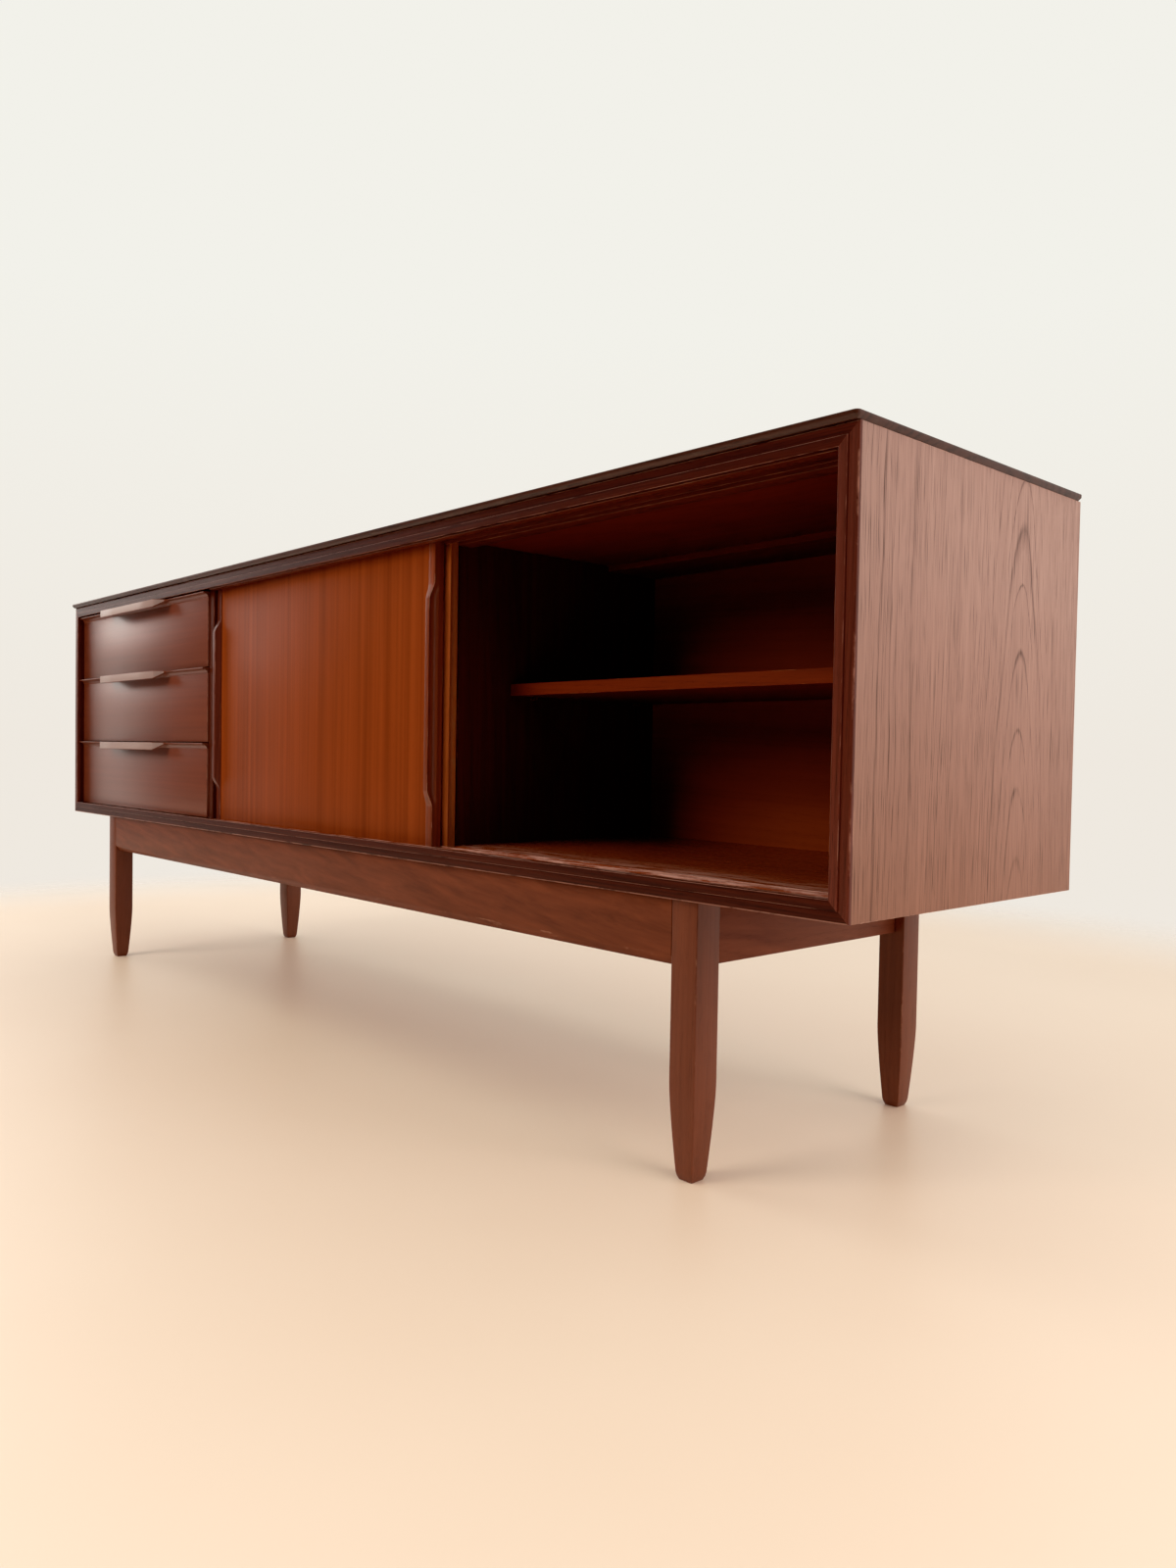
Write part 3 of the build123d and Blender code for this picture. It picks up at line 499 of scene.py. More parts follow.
finishes = {
    "side_veneer": makeWood("mattOiledTeakVeneer", ringCentre=(-60.0, 95.0, -990.0), **sideLook),
    # sliced teak veneer under brown polish: nearly black-red, satin
    "top_veneer": makeWood(
        "polishedDarkTeakVeneer", light="#563024", dark="#33170f", pore="#1d0b07",
        ringCentre=(0.0, 20.0, 640.0), ringTilt=0.05, ringWidth=12.0, ringDepth=0.5, ribbonDepth=0.3,
        roughness=(0.3, 0.4), specular=0.4, wornTone="#54392f", worn=0.35),
    # solid teak mouldings with brown polish; the pale arrises are partly rubbed through and partly a painted
    # highlight
    "frame_teak": makeWood(
        "polishedTeakMoulding", light="#582518", dark="#35120b", pore="#200a05",
        ringDepth=0.25, ribbonWidth=3.0, ribbonDepth=0.8, poreDepth=0.4,
        roughness=(0.3, 0.4), specular=0.16, wornTone="#946658", worn=0.8),
    # solid afrormosia legs, sanded and satin lacquered
    "leg_wood": makeWood(
        "satinHardwoodLeg", grain="Z", light="#7b4029", dark="#592817", pore="#34140b",
        ringDepth=0.1, ribbonWidth=6.0, ribbonDepth=0.4, poreDepth=0.25,
        roughness=(0.33, 0.42), specular=0.4, wornTone="#94614b", worn=0.35),
    # solid rails with a diagonal flame in the grain, satin lacquered
    "rail_wood": makeWood(
        "flamedHardwoodRail", light="#80442d", dark="#542a1c", pore="#3c1a10",
        ringDepth=0.0, ribbonWidth=12.0, ribbonLength=900.0, ribbonDepth=0.6, ribbonDetail=3.0, slant=0.13,
        drift=8.0, poreLean=0.0, poreDepth=0.15, roughness=(0.36, 0.45), specular=0.13,
        wornTone="#94614b", worn=0.3),
    # quarter-cut teak veneer, straight fine stripes, satin lacquered
    "door_veneer": makeWood(
        "stripedTeakVeneer", grain="Z", light="#9c4b24", dark="#743415", pore="#5c270f",
        ringDepth=0.0, ribbonWidth=11.0, ribbonLength=1100.0, ribbonDepth=0.6, poreShare=0.3, poreDepth=0.2,
        poreLength=14.0, cloud=0.4, roughness=(0.34, 0.42), specular=0.04, wornTone="#b5714c"),
    # solid teak door edges, moulded and satin lacquered
    "edge_teak": makeWood(
        "mouldedTeakEdge", grain="Z", light="#944626", dark="#622913", pore="#3e180b",
        ringDepth=0.1, ribbonWidth=4.0, ribbonDepth=0.7, poreDepth=0.3, roughness=(0.28, 0.36), specular=0.5,
        wornTone="#b98a74", worn=0.5),
    # solid teak drawer lips, polished by hands; the grip's pale greyish front is partly wear and partly a
    # painted reflection of the bright room
    "handle_teak": makeWood(
        "handledTeakLip", light="#7c4432", dark="#5e2e20", pore="#40190f",
        ringDepth=0.05, ribbonWidth=4.0, ribbonDepth=0.4, poreDepth=0.2, roughness=(0.3, 0.38), specular=0.32,
        bump=0.05, wornTone="#a18a85", worn=1.3),
    # crown-cut teak veneer with the grain lying down, satin lacquered
    "drawer_veneer": makeWood(
        "lyingTeakVeneer", light="#81412c", dark="#612a1a", pore="#40190f",
        ringDepth=0.0, ribbonWidth=8.0, ribbonLength=500.0, ribbonDepth=0.45, poreLean=0.0, poreDepth=0.2,
        cloud=0.3, roughness=(0.34, 0.4), specular=0.5, coat=0.8, coatRoughness=0.42, bump=0.03,
        wornTone="#a0705c"),
    "drawer_box_wood": makeWood("sealedRaminBox", **boxLook),
    # thin plywood drawer bottoms
    "drawer_ply": makeWood(
        "sandedBirchPly", light="#cda777", dark="#ad8554", pore="#9a7448",
        ringWidth=14.0, ringDepth=0.4, ribbonWidth=9.0, ribbonDepth=0.3, poreDepth=0.2,
        roughness=(0.5, 0.62), wornTone="#d8bd96"),
    # teak veneer inside the case, satin
    "inner_veneer": makeWood(
        "satinInnerTeakVeneer", light="#7e3416", dark="#5a220c", pore="#3a1409",
        ringDepth=0.15, ribbonWidth=9.0, ribbonLength=420.0, ribbonDepth=0.5, poreDepth=0.3,
        roughness=(0.36, 0.46), specular=0.2, wornTone="#a9684c", worn=0.4),
    # waxed hardwood track strips
    "track_wood": makeWood(
        "waxedTrackStrip", light="#7a3a25", dark="#4f1f12", pore="#2d0f08",
        ringDepth=0.1, ribbonWidth=4.0, ribbonDepth=0.5, roughness=(0.34, 0.44), coat=0.25,
        wornTone="#93604a", worn=0.45),
    "runner_wood": makeWood("waxedBeechRunner", **runnerLook),
    # stained plywood back
    "back_ply": makeWood(
        "stainedPlyBack", light="#a04b26", dark="#743315", pore="#4a1d0d",
        ringCentre=(0.0, 500.0, -160.0), ringWidth=16.0, ringDepth=0.12,
        ribbonWidth=30.0, ribbonDepth=0.3,
        ribbonDetail=3.0, poreDepth=0.15, cloud=0.4, roughness=(0.42, 0.54), specular=0.2,
        wornTone="#a9785a"),
}
# the floor board is paler at its front edge: partly rubbed where things slide in and out, partly a painted
# sheen of reflected light
floorBoard = makeWood(
    "rubbedInnerTeakVeneer", light="#9a4a28", dark="#6e3018", pore="#33120a",
    ringDepth=0.1, ribbonWidth=7.0, ribbonLength=420.0, ribbonDepth=0.6, poreDepth=0.35,
    roughness=(0.22, 0.3), specular=0.5, coat=0.5, wornTone="#d0a090", scuff=("Y", -205.0, -85.0))
# painted shade: the rear door's edges, which sit in the front door's shade, get their own tone of the edge
# wood, set for that shade
rearEdgeInShade = makeWood(
    "shadedTeakEdge", grain="Z", light="#bd6636", dark="#84401d", pore="#3a160a",
    ringDepth=0.1, ribbonWidth=5.0, ribbonDepth=0.6, poreDepth=0.3, roughness=(0.3, 0.4), specular=0.3,
    wornTone="#a8683f", worn=0.3)
# the short rails run from front to back, with a weaker flame
railSide = makeWood(
    "flamedHardwoodSideRail", grain="Y", light="#864b36", dark="#623124", pore="#34140b",
    ringDepth=0.2, ribbonWidth=12.0, ribbonLength=300.0, ribbonDepth=0.5, ribbonDetail=3.0,
    slant=0.08, drift=6.0, poreDepth=0.2,
    roughness=(0.4, 0.5), specular=0.2, wornTone="#94614b", worn=0.3)
# uprights have the grain standing up. The frame's uprights take a lighter, redder tone of the moulding wood;
# the inner uprights carry painted shade, a much darker copy of the inner veneer for the deep shade inside the
# case
uprightFrame = makeWood(
    "polishedTeakUpright", grain="Z", light="#74382a", dark="#4c2016", pore="#2c0f08",
    ringDepth=0.25, ribbonWidth=3.0, ribbonDepth=0.7, poreDepth=0.4,
    roughness=(0.3, 0.4), specular=0.3, wornTone="#946252", worn=0.5)
# painted shade: darker than the inner veneer, for the shade on the partition, the divider and the side
# panels' inner faces
innerUprightShade = makeWood(
    "satinInnerTeakUpright", grain="Z", light="#5a2310", dark="#391509", pore="#230b05",
    ringDepth=0.15, ribbonWidth=9.0, ribbonLength=420.0, ribbonDepth=0.5, poreDepth=0.3,
    roughness=(0.4, 0.5), specular=0.15, wornTone="#a9684c", worn=0.4)
print("woods are mixed")


# metals and plastic

def makeSmallFinish(name, s):
    # a uniform material with a fine change of tone and polish over a few millimetres
    material = bpy.data.materials.new(name)
    material.use_nodes = True
    tree = material.node_tree
    shader = tree.nodes["Principled BSDF"]
    place = addNode(tree, "ShaderNodeTexCoord")
    grainNoise = addNode(tree, "ShaderNodeTexNoise", {"Scale": 1 / (s["spotMm"] * mm), "Detail": 4.0},
                         {"Vector": place.outputs["Object"]})
    tone = addNode(tree, "ShaderNodeValToRGB", {"stops": [(0.35, s["dark"]), (0.65, s["light"])]},
                   {"Fac": grainNoise.outputs["Fac"]})
    rough = addNode(tree, "ShaderNodeMapRange", {"To Min": s["roughness"][0], "To Max": s["roughness"][1]},
                    {"Value": grainNoise.outputs["Fac"]})
    bump = addNode(tree, "ShaderNodeBump", {"Strength": 0.1, "Distance": 0.2 * mm},
                   {"Height": grainNoise.outputs["Fac"]})
    tree.links.new(tone.outputs["Color"], shader.inputs["Base Color"])
    tree.links.new(rough.outputs["Result"], shader.inputs["Roughness"])
    tree.links.new(bump.outputs[0], shader.inputs["Normal"])
    shader.inputs["Metallic"].default_value = s["metallic"]
    return material


# zinc-plated steel, dulled: soft grey with darker spots
finishes["screw_steel"] = makeSmallFinish("dulledZincScrew", {
    "light": "#b9b5ad", "dark": "#7f7a72", "metallic": 1.0, "roughness": (0.35, 0.6), "spotMm": 1.5})
# drawn brass rod, tarnished
finishes["pin_brass"] = makeSmallFinish("tarnishedBrassPin", {
    "light": "#c89c52", "dark": "#86622c", "metallic": 1.0, "roughness": (0.3, 0.5), "spotMm": 2.0})
# natural nylon, rubbed matt by sliding
finishes["glide_nylon"] = makeSmallFinish("rubbedNylonPad", {
    "light": "#dcd6c6", "dark": "#b9b19d", "metallic": 0.0, "roughness": (0.45, 0.65), "spotMm": 4.0})


# boards

easing = {
    "weld": 0.01,          # mm
    "flat": 0.6,           # degrees, triangles flatter than this join into one face
    "sharp": 40.0,         # degrees
    "shortest": 12.0,      # mm, shorter edges stay as they are
    "turned": 0.985,       # a face whose normal keeps under this of every axis turns a corner
    "facing": 0.9,         # a face whose normal has more than this of an axis looks that way
    "board": 0.5,          # mm taken off each arris
    "box": 0.8,
    "glide": 1.0,
}


def turnsCorner(face):
    return max(abs(c) for c in face.normal) < easing["turned"]


def easedCopy(node, ease, material):
    # the CAD shape with its long arrises rounded, and those marked for the finish
    shape = bmesh.new()
    shape.from_mesh(nodes[node].data)
    bmesh.ops.remove_doubles(shape, verts=shape.verts, dist=easing["weld"] * mm)
    bmesh.ops.dissolve_limit(shape, angle_limit=math.radians(easing["flat"]),
                             verts=shape.verts, edges=shape.edges)
    arris = shape.faces.layers.float.new("arris")
    for face in shape.faces:      # faces that already turn a corner, such as a moulding's round
        if turnsCorner(face):
            face[arris] = 1.0
    if ease:
        long = [edge for edge in shape.edges
                if len(edge.link_faces) == 2 and edge.is_convex
                and edge.calc_length() > easing["shortest"] * mm
                and edge.calc_face_angle() > math.radians(easing["sharp"])]
        rounded = bmesh.ops.bevel(shape, geom=long, offset=ease * mm, offset_type="OFFSET", segments=2,
                                  profile=0.5, affect="EDGES", clamp_overlap=True)
        for face in rounded["faces"]:
            face[arris] = 1.0
    piece = newPiece(pieceName(node), shape, material, bodyOf(node))
    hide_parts(node)
    return piece


def shadedVeneerInside(piece, shelf):
    # the face that looks into the case takes the inner uprights' darker tone, painted shade for the inside of
    # the case
    piece.data.materials.append(innerUprightShade)
    inward = 1 if shelf[0].x > piece.data.vertices[0].co.x else -1
    for polygon in piece.data.polygons:
        if polygon.normal.x * inward > easing["facing"]:
            polygon.material_index = 1


def finishFor(node):
    if node.startswith("rear_door_strip"):
        return rearEdgeInShade
    if node == "bottom_panel":
        return floorBoard
    if node in ("stand_rail_left", "stand_rail_right"):
        return railSide
    if node == "side_panel_left":
        return sideLeft
    if node in ("frame_left", "frame_right"):
        return uprightFrame
    # the partition and the divider get the painted-shade tone
    if node in ("drawer_partition", "centre_divider"):
        return innerUprightShade
    if node.startswith("drawer_runners"):
        return runnerFinish
    if node.endswith(("_side_left", "_side_right")):
        return boxSide
    return finishes[slotOf[node]]


specialNodes = {"back_screws", "stand_screws", "shelf_pins"}
specialNodes |= {n for n in nodes if n.startswith("leg_") or n.endswith("_handle_lip")}
specialNodes |= {"front_door_strip_left", "front_door_strip_right"}
for node in sorted(set(nodes) - specialNodes):
    ease = easing["board"]
    if node.startswith("frame_") or node == "top_board":
        ease = 0
    elif node.endswith("_glides"):
        ease = easing["glide"]
    elif node.endswith(("_side_left", "_side_right", "_back")) and node.startswith("drawer_"):
        ease = easing["box"]
    piece = easedCopy(node, ease, finishFor(node))
    if node.startswith("side_panel_"):
        shadedVeneerInside(piece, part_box("shelf_" + node.rsplit("_", 1)[1]))
print("boards are eased")


# sculpted lips and door edges

def roundCorners(points, radii, steps):
    # an outline whose corners become short arcs; a radius of 0 keeps the corner, as equal points
    outline = []
    count = len(points)
    for i, (corner, radius) in enumerate(zip(points, radii)):
        before, after = Vector(points[i - 1]), Vector(points[(i + 1) % count])
        corner = Vector(corner)
        inward, outward = (before - corner), (after - corner)
        reach = min(radius, inward.length * 0.45, outward.length * 0.45)      # two arcs never meet
        start = corner + inward.normalized() * reach
        end = corner + outward.normalized() * reach
        for k in range(steps):
            t = k / (steps - 1)
            outline.append((1 - t) ** 2 * start + 2 * t * (1 - t) * corner + t ** 2 * end)
    return outline


def swell(distance, flat, ramp):
    # 1 over the grip, 0 beyond the ramps, with soft shoulders
    t = min(max((flat + ramp - abs(distance)) / ramp, 0.0), 1.0)
    return 0.35 * t + 0.65 * t * t * (3 - 2 * t)


def stations(low, high, middle, flat, ramp):
    # places along the piece: few where it is straight, many on the two ramps
    marks = [low]
    knees = (middle - flat - ramp, middle - flat, middle + flat, middle + flat + ramp)
    steps = (plainSteps, rampSteps, plainSteps, rampSteps, plainSteps)
    for start, end, count in zip((low,) + knees, knees + (high,), steps):
        marks += [start + (end - start) * (k + 1) / count for k in range(count)]
    return marks


def loftRings(rings):
    # joins equal rings of points into one closed skin
    shape = bmesh.new()
    rows = [[shape.verts.new(p) for p in ring] for ring in rings]
    for first, second in zip(rows, rows[1:]):
        for i in range(len(first)):
            j = (i + 1) % len(first)
            shape.faces.new((first[i], first[j], second[j], second[i]))
    shape.faces.new(list(reversed(rows[0])))
    shape.faces.new(rows[-1])
    bmesh.ops.remove_doubles(shape, verts=shape.verts, dist=weldGap * mm)
    bmesh.ops.recalc_face_normals(shape, faces=shape.faces)
    return shape


rampSteps, plainSteps, cornerSteps = 14, 4, 4

lipStyle = {
    "height": 10.0,
    "thick": 16.0,
    "plain": {"reach": 9.0, "edge": 2.4, "nose": 0.8, "hollow": (2.7, -4.7)},
    "grip": {"reach": 28.0, "edge": 14.5, "nose": 2.5, "hollow": (12.5, -5.6)},
    "flat": 134.0,          # half the straight grip
    "ramp": 18.0,
    "arris": 0.9,
    "backArris": 0.3,
    "hollowSteps": 9,
    "rubbedFrom": 3.5,      # mm, a front face taller than this belongs to the grip
}


def arcThrough(start, middle, end, count):
    # points on the circle through three points, both ends included
    ax, ay = start
    bx, by = middle
    cx, cy = end
    d = 2 * (ax * (by - cy) + bx * (cy - ay) + cx * (ay - by))
    a2, b2, c2 = ax * ax + ay * ay, bx * bx + by * by, cx * cx + cy * cy
    centre = Vector(((a2 * (by - cy) + b2 * (cy - ay) + c2 * (ay - by)) / d,
                     (a2 * (cx - bx) + b2 * (ax - cx) + c2 * (bx - ax)) / d))
    from0 = math.atan2(ay - centre.y, ax - centre.x)
    sweep = (math.atan2(cy - centre.y, cx - centre.x) - from0 + math.pi) % (2 * math.pi) - math.pi
    radius = (Vector(start) - centre).length
    return [centre + radius * Vector((math.cos(from0 + sweep * k / (count - 1)),
                                      math.sin(from0 + sweep * k / (count - 1)))) for k in range(count)]


def lipOutline(t, s):
    # the lip's section, (out, up) in mm from the drawer's face and top; t swells it from plain to grip
    def between(key):
        a, b = s["plain"][key], s["grip"][key]
        if isinstance(a, tuple):
            return tuple(p + (q - p) * t for p, q in zip(a, b))
        return a + (b - a) * t
    reach, edge, nose, hollow = (between(k) for k in ("reach", "edge", "nose", "hollow"))
    under = arcThrough((reach - nose, -edge), hollow, (0, -s["height"]), s["hollowSteps"])
    corners = [(-s["thick"], -s["height"]), (-s["thick"], 0), (reach, 0), (reach, -edge)]
    corners += [tuple(p) for p in under]
    radii = [s["backArris"], s["arris"], s["arris"], min(s["arris"], nose * 0.45)] + [0.0] * len(under)
    return roundCorners(corners, radii, cornerSteps)


def makeLip(drawer, s):
    node = drawer + "_handle_lip"
    low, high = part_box(node)
    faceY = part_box(drawer + "_front")[0].y / mm
    top, middle = high.z / mm, (low.x + high.x) / 2 / mm
    rings = []
    for x in stations(low.x / mm, high.x / mm, middle, s["flat"], s["ramp"]):
        t = swell(x - middle, s["flat"], s["ramp"])
        rings.append([Vector((x, faceY - out, top + up)) * mm for out, up in lipOutline(t, s)])
    shape = loftRings(rings)
    arris = shape.faces.layers.float.new("arris")
    for face in shape.faces:      # the grip's front, painted pale: partly rubbed by hands, partly a painted reflection
        tall = max(v.co.z for v in face.verts) - min(v.co.z for v in face.verts)
        if face.normal.y < -0.5 and tall > s["rubbedFrom"] * mm:
            face[arris] = 1.0
    piece = newPiece(pieceName(node), shape, finishes["handle_teak"], drawer)
    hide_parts(node)


def markArrises(shape, widest):
    # marks the narrow rounded faces, whose short side is under the widest
    arris = shape.faces.layers.float.new("arris")
    for face in shape.faces:
        shortest = min(edge.calc_length() for edge in face.edges)
        if turnsCorner(face) and len(face.verts) <= 4 and shortest < widest:
            face[arris] = 1.0


for drawer in ("drawer_top", "drawer_middle", "drawer_bottom"):
    makeLip(drawer, lipStyle)

stripStyle = {
    "width": 15.0,
    "thick": 12.5,
    "proud": 1.5,
    "gripReach": 9.5,
    "flat": 125.0,
    "ramp": 22.0,
    "arris": 0.8,
}


def stripOutline(t, s):
    # the edge strip's section, (across from the door's edge, out from its face) in mm
    reach = s["proud"] + (s["gripReach"] - s["proud"]) * t
    crest = s["width"] - 0.8 + (s["width"] * 0.62 - s["width"] + 0.8) * t
    shoulder = s["proud"] / 2 + s["proud"] / 2 * t
    scoop = arcThrough((0.8 - 0.2 * t, reach), (0.3 + 3.3 * t, -1.6 + 4.6 * t), (0, -5.0), 7)
    corners = [(0, -s["thick"]), (s["width"], -s["thick"]), (s["width"], shoulder), (crest, reach)]
    corners += [tuple(p) for p in scoop]
    radii = [0.4, 0.0, 0.4, s["arris"], 0.5] + [0.0] * (len(scoop) - 1)
    return roundCorners(corners, radii, 4)


def makeStrip(node, side, finish, s):
    low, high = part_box(node)
    edgeX = (high.x if side > 0 else low.x) / mm
    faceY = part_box("front_door_panel")[0].y / mm
    middle = (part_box("bottom_panel")[1].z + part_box("frame_top")[0].z) / 2 / mm
    rings = []
    for z in stations(low.z / mm, high.z / mm, middle, s["flat"], s["ramp"]):
        t = swell(z - middle, s["flat"], s["ramp"])
        rings.append([Vector((edgeX - side * across, faceY - out, z)) * mm
                      for across, out in stripOutline(t, s)])
    shape = loftRings(rings)
    markArrises(shape, s["arris"] * 0.8 * mm)
    piece = newPiece(pieceName(node), shape, finish, "front_door")
    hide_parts(node)


makeStrip("front_door_strip_left", -1, uprightFrame, stripStyle)
makeStrip("front_door_strip_right", 1, finishes["edge_teak"], stripStyle)
print("lips and door edges are shaped")


# legs, screws and pins by geometry nodes

def newTree(name, inputs):
    # a geometry node tree with named number inputs, its input node and the inputs' identifiers
    tree = bpy.data.node_groups.new(name, "GeometryNodeTree")
    tree.interface.new_socket("Geometry", in_out="INPUT", socket_type="NodeSocketGeometry")
    tree.interface.new_socket("Geometry", in_out="OUTPUT", socket_type="NodeSocketGeometry")
    sockets = {}
    for label in inputs:
        socket = tree.interface.new_socket(label, in_out="INPUT", socket_type="NodeSocketFloat")
        sockets[label] = socket.identifier
    entry = addNode(tree, "NodeGroupInput")
    return tree, entry, sockets


def finishTree(tree, geometry, material):
    # every tree ends the same way, so that nothing is left as an instance
    real = addNode(tree, "GeometryNodeRealizeInstances", None, {0: geometry})
    coat = addNode(tree, "GeometryNodeSetMaterial", {"Material": material}, {"Geometry": real.outputs[0]})
    addNode(tree, "NodeGroupOutput", None, {0: coat.outputs[0]})


def runTree(name, points, tree, sockets, style, body, replaced):
    # evaluates the tree on a cloud of points, with the style's sizes in mm, and keeps a plain mesh
    cloud = bpy.data.meshes.new(name + "Points")
    cloud.from_pydata([tuple(p) for p in points], [], [])
    maker = bpy.data.objects.new(name + "Maker", cloud)
    bpy.context.scene.collection.objects.link(maker)
    modifier = maker.modifiers.new("nodes", "NODES")
    modifier.node_group = tree
    for label, size in style.items():
        modifier[sockets[label]] = size * mm
    bpy.context.view_layer.update()
    depsgraph = bpy.context.evaluated_depsgraph_get()
    mesh = bpy.data.meshes.new_from_object(maker.evaluated_get(depsgraph))
    mesh.name = name
    bpy.data.objects.remove(maker)
    piece = bpy.data.objects.new(name, mesh)
    bpy.context.scene.collection.objects.link(piece)
    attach(piece, body)
    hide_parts(replaced)
    return piece


def looseBoxes(node):
    # the box of every separate solid in a CAD node, so that its copies land where it says
    shape = bmesh.new()
    shape.from_mesh(nodes[node].data)
    bmesh.ops.remove_doubles(shape, verts=shape.verts, dist=easing["weld"] * mm)
    left, boxes = set(shape.verts), []
    while left:
        island, border = set(), [next(iter(left))]
        while border:
            vert = border.pop()
            if vert in island:
                continue
            island.add(vert)
            border += [edge.other_vert(vert) for edge in vert.link_edges]
        left -= island
        places = [v.co for v in island]
        boxes.append((Vector([min(p[i] for p in places) for i in range(3)]),
                      Vector([max(p[i] for p in places) for i in range(3)])))
    shape.free()
    return sorted(boxes, key=lambda pair: tuple(round(c, 4) for c in pair[0]))


cutter = 30.0        # mm, any block larger than a screw's head

screwStyle = {
    "Head Radius": 3.2,
    "Head Height": 1.8,
    "Shank Radius": 1.5,
    "Length": 15.0,
    "Slot Width": 0.8,
}


def screwTree(turn):
    # a slotted round-head screw on each point, its head outward and its slot at a random angle
    tree, entry, sockets = newTree("slottedScrew", screwStyle)
    halfLength = addNode(tree, "ShaderNodeMath", {"operation": "MULTIPLY", 1: -0.5},
                         {0: entry.outputs["Length"]})
    shankPlace = addNode(tree, "ShaderNodeCombineXYZ", None, {"Z": halfLength.outputs[0]})
    shank = addNode(tree, "GeometryNodeMeshCylinder", {"Vertices": 20},
                    {"Radius": entry.outputs["Shank Radius"], "Depth": entry.outputs["Length"]})
    shankDown = addNode(tree, "GeometryNodeTransform", None,
                        {"Geometry": shank.outputs["Mesh"], "Translation": shankPlace.outputs[0]})
    ball = addNode(tree, "GeometryNodeMeshUVSphere", {"Segments": 28, "Rings": 14},
                   {"Radius": entry.outputs["Head Radius"]})
    ratio = addNode(tree, "ShaderNodeMath", {"operation": "DIVIDE"},
                    {0: entry.outputs["Head Height"], 1: entry.outputs["Head Radius"]})
    squash = addNode(tree, "ShaderNodeCombineXYZ", {"X": 1.0, "Y": 1.0}, {"Z": ratio.outputs[0]})
    dome = addNode(tree, "GeometryNodeTransform", None,
                   {"Geometry": ball.outputs["Mesh"], "Scale": squash.outputs[0]})
    wide = addNode(tree, "ShaderNodeMath", {"operation": "MULTIPLY", 1: 2.4},
                   {0: entry.outputs["Head Radius"]})       # the slot runs right across the head
    slotSize = addNode(tree, "ShaderNodeCombineXYZ", None,
                       {"X": wide.outputs[0], "Y": entry.outputs["Slot Width"],
                        "Z": entry.outputs["Head Height"]})
    slot = addNode(tree, "GeometryNodeMeshCube", None, {"Size": slotSize.outputs[0]})
    slotPlace = addNode(tree, "ShaderNodeCombineXYZ", None, {"Z": entry.outputs["Head Height"]})
    slotUp = addNode(tree, "GeometryNodeTransform", None,
                     {"Geometry": slot.outputs["Mesh"], "Translation": slotPlace.outputs[0]})
    # a block up to the seat, though the solver leaves the ball's lower half, which the wood hides
    below = addNode(tree, "GeometryNodeMeshCube", {"Size": [cutter * mm] * 3})
    belowDown = addNode(tree, "GeometryNodeTransform", {"Translation": (0.0, 0.0, -cutter / 2 * mm)},
                        {"Geometry": below.outputs["Mesh"]})
    cut = addNode(tree, "GeometryNodeMeshBoolean", {"operation": "DIFFERENCE"}, {"Mesh 1": dome.outputs[0]})
    tree.links.new(slotUp.outputs[0], cut.inputs["Mesh 2"])
    tree.links.new(belowDown.outputs[0], cut.inputs["Mesh 2"])
    screw = addNode(tree, "GeometryNodeJoinGeometry")
    tree.links.new(shankDown.outputs[0], screw.inputs[0])
    tree.links.new(cut.outputs["Mesh"], screw.inputs[0])
    anyTurn = addNode(tree, "FunctionNodeRandomValue", {"data_type": "FLOAT", 3: math.pi, "Seed": 11})
    turnVector = addNode(tree, "ShaderNodeCombineXYZ", None, {"Z": anyTurn.outputs[1]})
    stood = addNode(tree, "GeometryNodeInstanceOnPoints", {"Rotation": turn},
                    {"Points": entry.outputs["Geometry"], "Instance": screw.outputs[0]})
    turned = addNode(tree, "GeometryNodeRotateInstances", {"Local Space": True},
                     {"Instances": stood.outputs[0], "Rotation": turnVector.outputs[0]})
    finishTree(tree, turned.outputs[0], finishes["screw_steel"])
    return tree, sockets


def makeScrews(node, headAt, turn, s):
    tree, sockets = screwTree(turn)
    points = [headAt(low, high) for low, high in looseBoxes(node)]
    runTree(pieceName(node), points, tree, sockets, s, "carcass", node)


def backHead(low, high):
    return Vector(((low.x + high.x) / 2, high.y - screwStyle["Head Height"] * mm, (low.z + high.z) / 2))


standScrewStyle = {
    "Head Radius": 4.2,
    "Head Height": 2.6,
    "Shank Radius": 2.2,
    "Length": 46.0,
    "Slot Width": 1.0,
}


def standHead(low, high):
    return Vector(((low.x + high.x) / 2, (low.y + high.y) / 2, low.z + standScrewStyle["Head Height"] * mm))


makeScrews("back_screws", backHead, (math.radians(-90), 0.0, 0.0), screwStyle)
makeScrews("stand_screws", standHead, (math.radians(180), 0.0, 0.0), standScrewStyle)

pinStyle = {"Radius": 2.5, "Length": 17.0, "Collar Radius": 3.4, "Collar Length": 1.2}


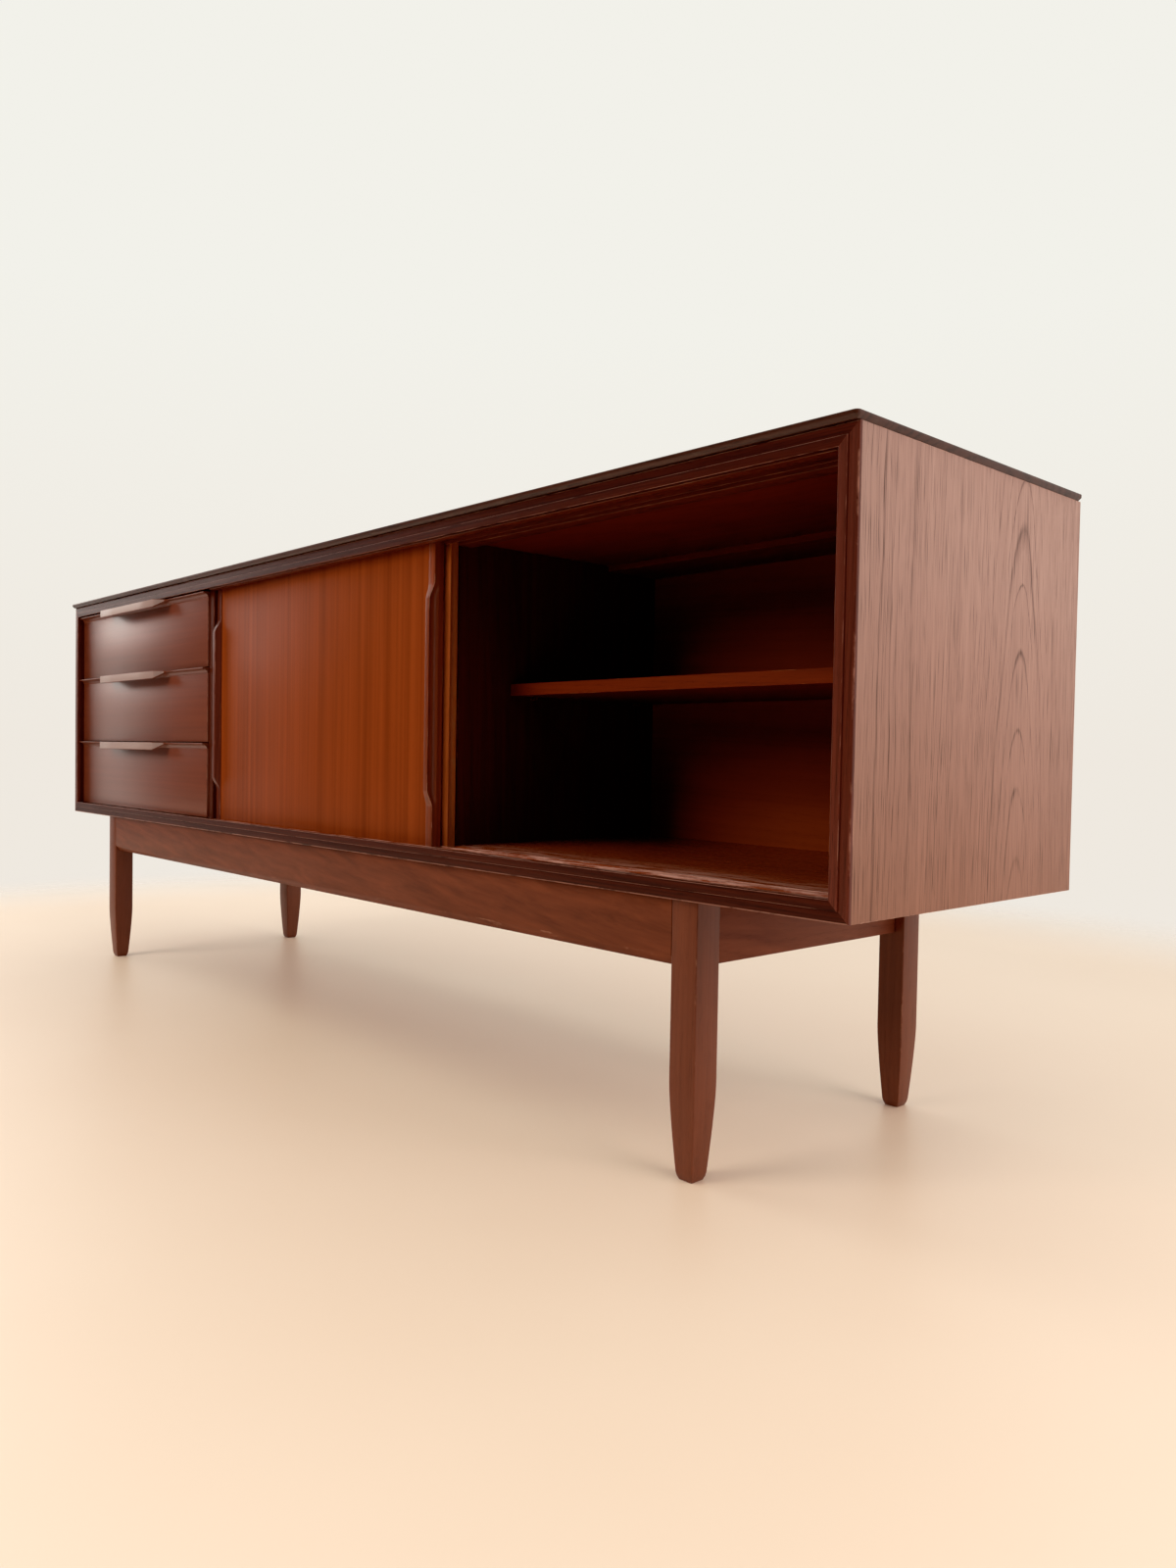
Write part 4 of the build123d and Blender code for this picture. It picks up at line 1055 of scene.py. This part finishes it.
def makePins(node, s):
    # shelf pins: a brass rod lying in the upright, with a thin collar at the wood's face
    tree, entry, sockets = newTree("shelfPin", s)
    rod = addNode(tree, "GeometryNodeMeshCylinder", {"Vertices": 24},
                  {"Radius": entry.outputs["Radius"], "Depth": entry.outputs["Length"]})
    collar = addNode(tree, "GeometryNodeMeshCylinder", {"Vertices": 24},
                     {"Radius": entry.outputs["Collar Radius"], "Depth": entry.outputs["Collar Length"]})
    pin = addNode(tree, "GeometryNodeJoinGeometry")
    tree.links.new(rod.outputs["Mesh"], pin.inputs[0])
    tree.links.new(collar.outputs["Mesh"], pin.inputs[0])
    stood = addNode(tree, "GeometryNodeInstanceOnPoints", {"Rotation": (0.0, math.radians(90), 0.0)},
                    {"Points": entry.outputs["Geometry"], "Instance": pin.outputs[0]})
    finishTree(tree, stood.outputs[0], finishes["pin_brass"])
    points = [(low + high) / 2 for low, high in looseBoxes(node)]
    runTree(pieceName(node), points, tree, sockets, s, "carcass", node)


makePins("shelf_pins", pinStyle)

legStyle = {
    "Side": 35.0,
    "Arris": 1.6,
    "Height": 289.0,
    "Taper Height": 100.0,
    "Foot Side": 22.6,
    "Tip Side": 17.5,
    "Tip Height": 5.5,
}


def legTree(s):
    # a rounded square drawn up a line, whose width follows the height: tip, foot, soft taper, straight
    tree, entry, sockets = newTree("taperedLeg", s)
    top = addNode(tree, "ShaderNodeCombineXYZ", None, {"Z": entry.outputs["Height"]})
    line = addNode(tree, "GeometryNodeCurvePrimitiveLine", None, {"End": top.outputs[0]})
    fine = addNode(tree, "GeometryNodeResampleCurve", {"Count": 73}, {"Curve": line.outputs[0]})
    place = addNode(tree, "GeometryNodeInputPosition")
    height = addNode(tree, "ShaderNodeSeparateXYZ", None, {0: place.outputs[0]})
    taper = addNode(tree, "ShaderNodeMapRange", {"To Min": 1.0, "To Max": 0.0},
                    {"Value": height.outputs["Z"], "From Min": entry.outputs["Tip Height"],
                     "From Max": entry.outputs["Taper Height"]})
    curved = addNode(tree, "ShaderNodeMath", {"operation": "POWER", 1: 1.35},
                     {0: taper.outputs["Result"]})        # the taper starts softly, as if planed by hand
    loss = addNode(tree, "ShaderNodeMath", {"operation": "SUBTRACT"},
                   {0: entry.outputs["Side"], 1: entry.outputs["Foot Side"]})
    lost = addNode(tree, "ShaderNodeMath", {"operation": "MULTIPLY"},
                   {0: curved.outputs[0], 1: loss.outputs[0]})
    width = addNode(tree, "ShaderNodeMath", {"operation": "SUBTRACT"},
                    {0: entry.outputs["Side"], 1: lost.outputs[0]})
    tipLoss = addNode(tree, "ShaderNodeMath", {"operation": "SUBTRACT"},
                      {0: entry.outputs["Foot Side"], 1: entry.outputs["Tip Side"]})
    tip = addNode(tree, "ShaderNodeMapRange", {"From Min": 0.0, "To Max": 0.0},
                  {"Value": height.outputs["Z"], "From Max": entry.outputs["Tip Height"],
                   "To Min": tipLoss.outputs[0]})
    widthTip = addNode(tree, "ShaderNodeMath", {"operation": "SUBTRACT"},
                       {0: width.outputs[0], 1: tip.outputs[0]})
    share = addNode(tree, "ShaderNodeMath", {"operation": "DIVIDE"},
                    {0: widthTip.outputs[0], 1: entry.outputs["Side"]})
    shaped = addNode(tree, "GeometryNodeSetCurveRadius", None,
                     {"Curve": fine.outputs[0], "Radius": share.outputs[0]})
    square = addNode(tree, "GeometryNodeCurvePrimitiveQuadrilateral", None,
                     {"Width": entry.outputs["Side"], "Height": entry.outputs["Side"]})
    section = addNode(tree, "GeometryNodeFilletCurve", {"mode": "POLY", "Count": 4},
                      {"Curve": square.outputs[0], "Radius": entry.outputs["Arris"]})
    skin = addNode(tree, "GeometryNodeCurveToMesh", {"Fill Caps": True},
                   {"Curve": shaped.outputs[0], "Profile Curve": section.outputs[0],
                    "Scale": share.outputs[0]})
    stood = addNode(tree, "GeometryNodeInstanceOnPoints", None,
                    {"Points": entry.outputs["Geometry"], "Instance": skin.outputs[0]})
    finishTree(tree, stood.outputs[0], finishes["leg_wood"])
    return tree, sockets


legNodes, legSockets = legTree(legStyle)
for corner in ("front_left", "front_right", "back_left", "back_right"):
    node = "leg_" + corner
    low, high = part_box(node)
    foot = Vector(((low.x + high.x) / 2, (low.y + high.y) / 2, 0.0))
    leg = runTree(pieceName(node), [foot], legNodes, legSockets, legStyle, "carcass", node)
    shape = bmesh.new()
    shape.from_mesh(leg.data)
    bmesh.ops.remove_doubles(shape, verts=shape.verts, dist=weldGap * mm)
    bmesh.ops.recalc_face_normals(shape, faces=shape.faces)
    markArrises(shape, legStyle["Arris"] / 2 * mm)
    shape.to_mesh(leg.data)
    shape.free()
    leg.data.shade_smooth()
    leg.data.set_sharp_from_angle(angle=crease)
print("legs, screws and pins are made")
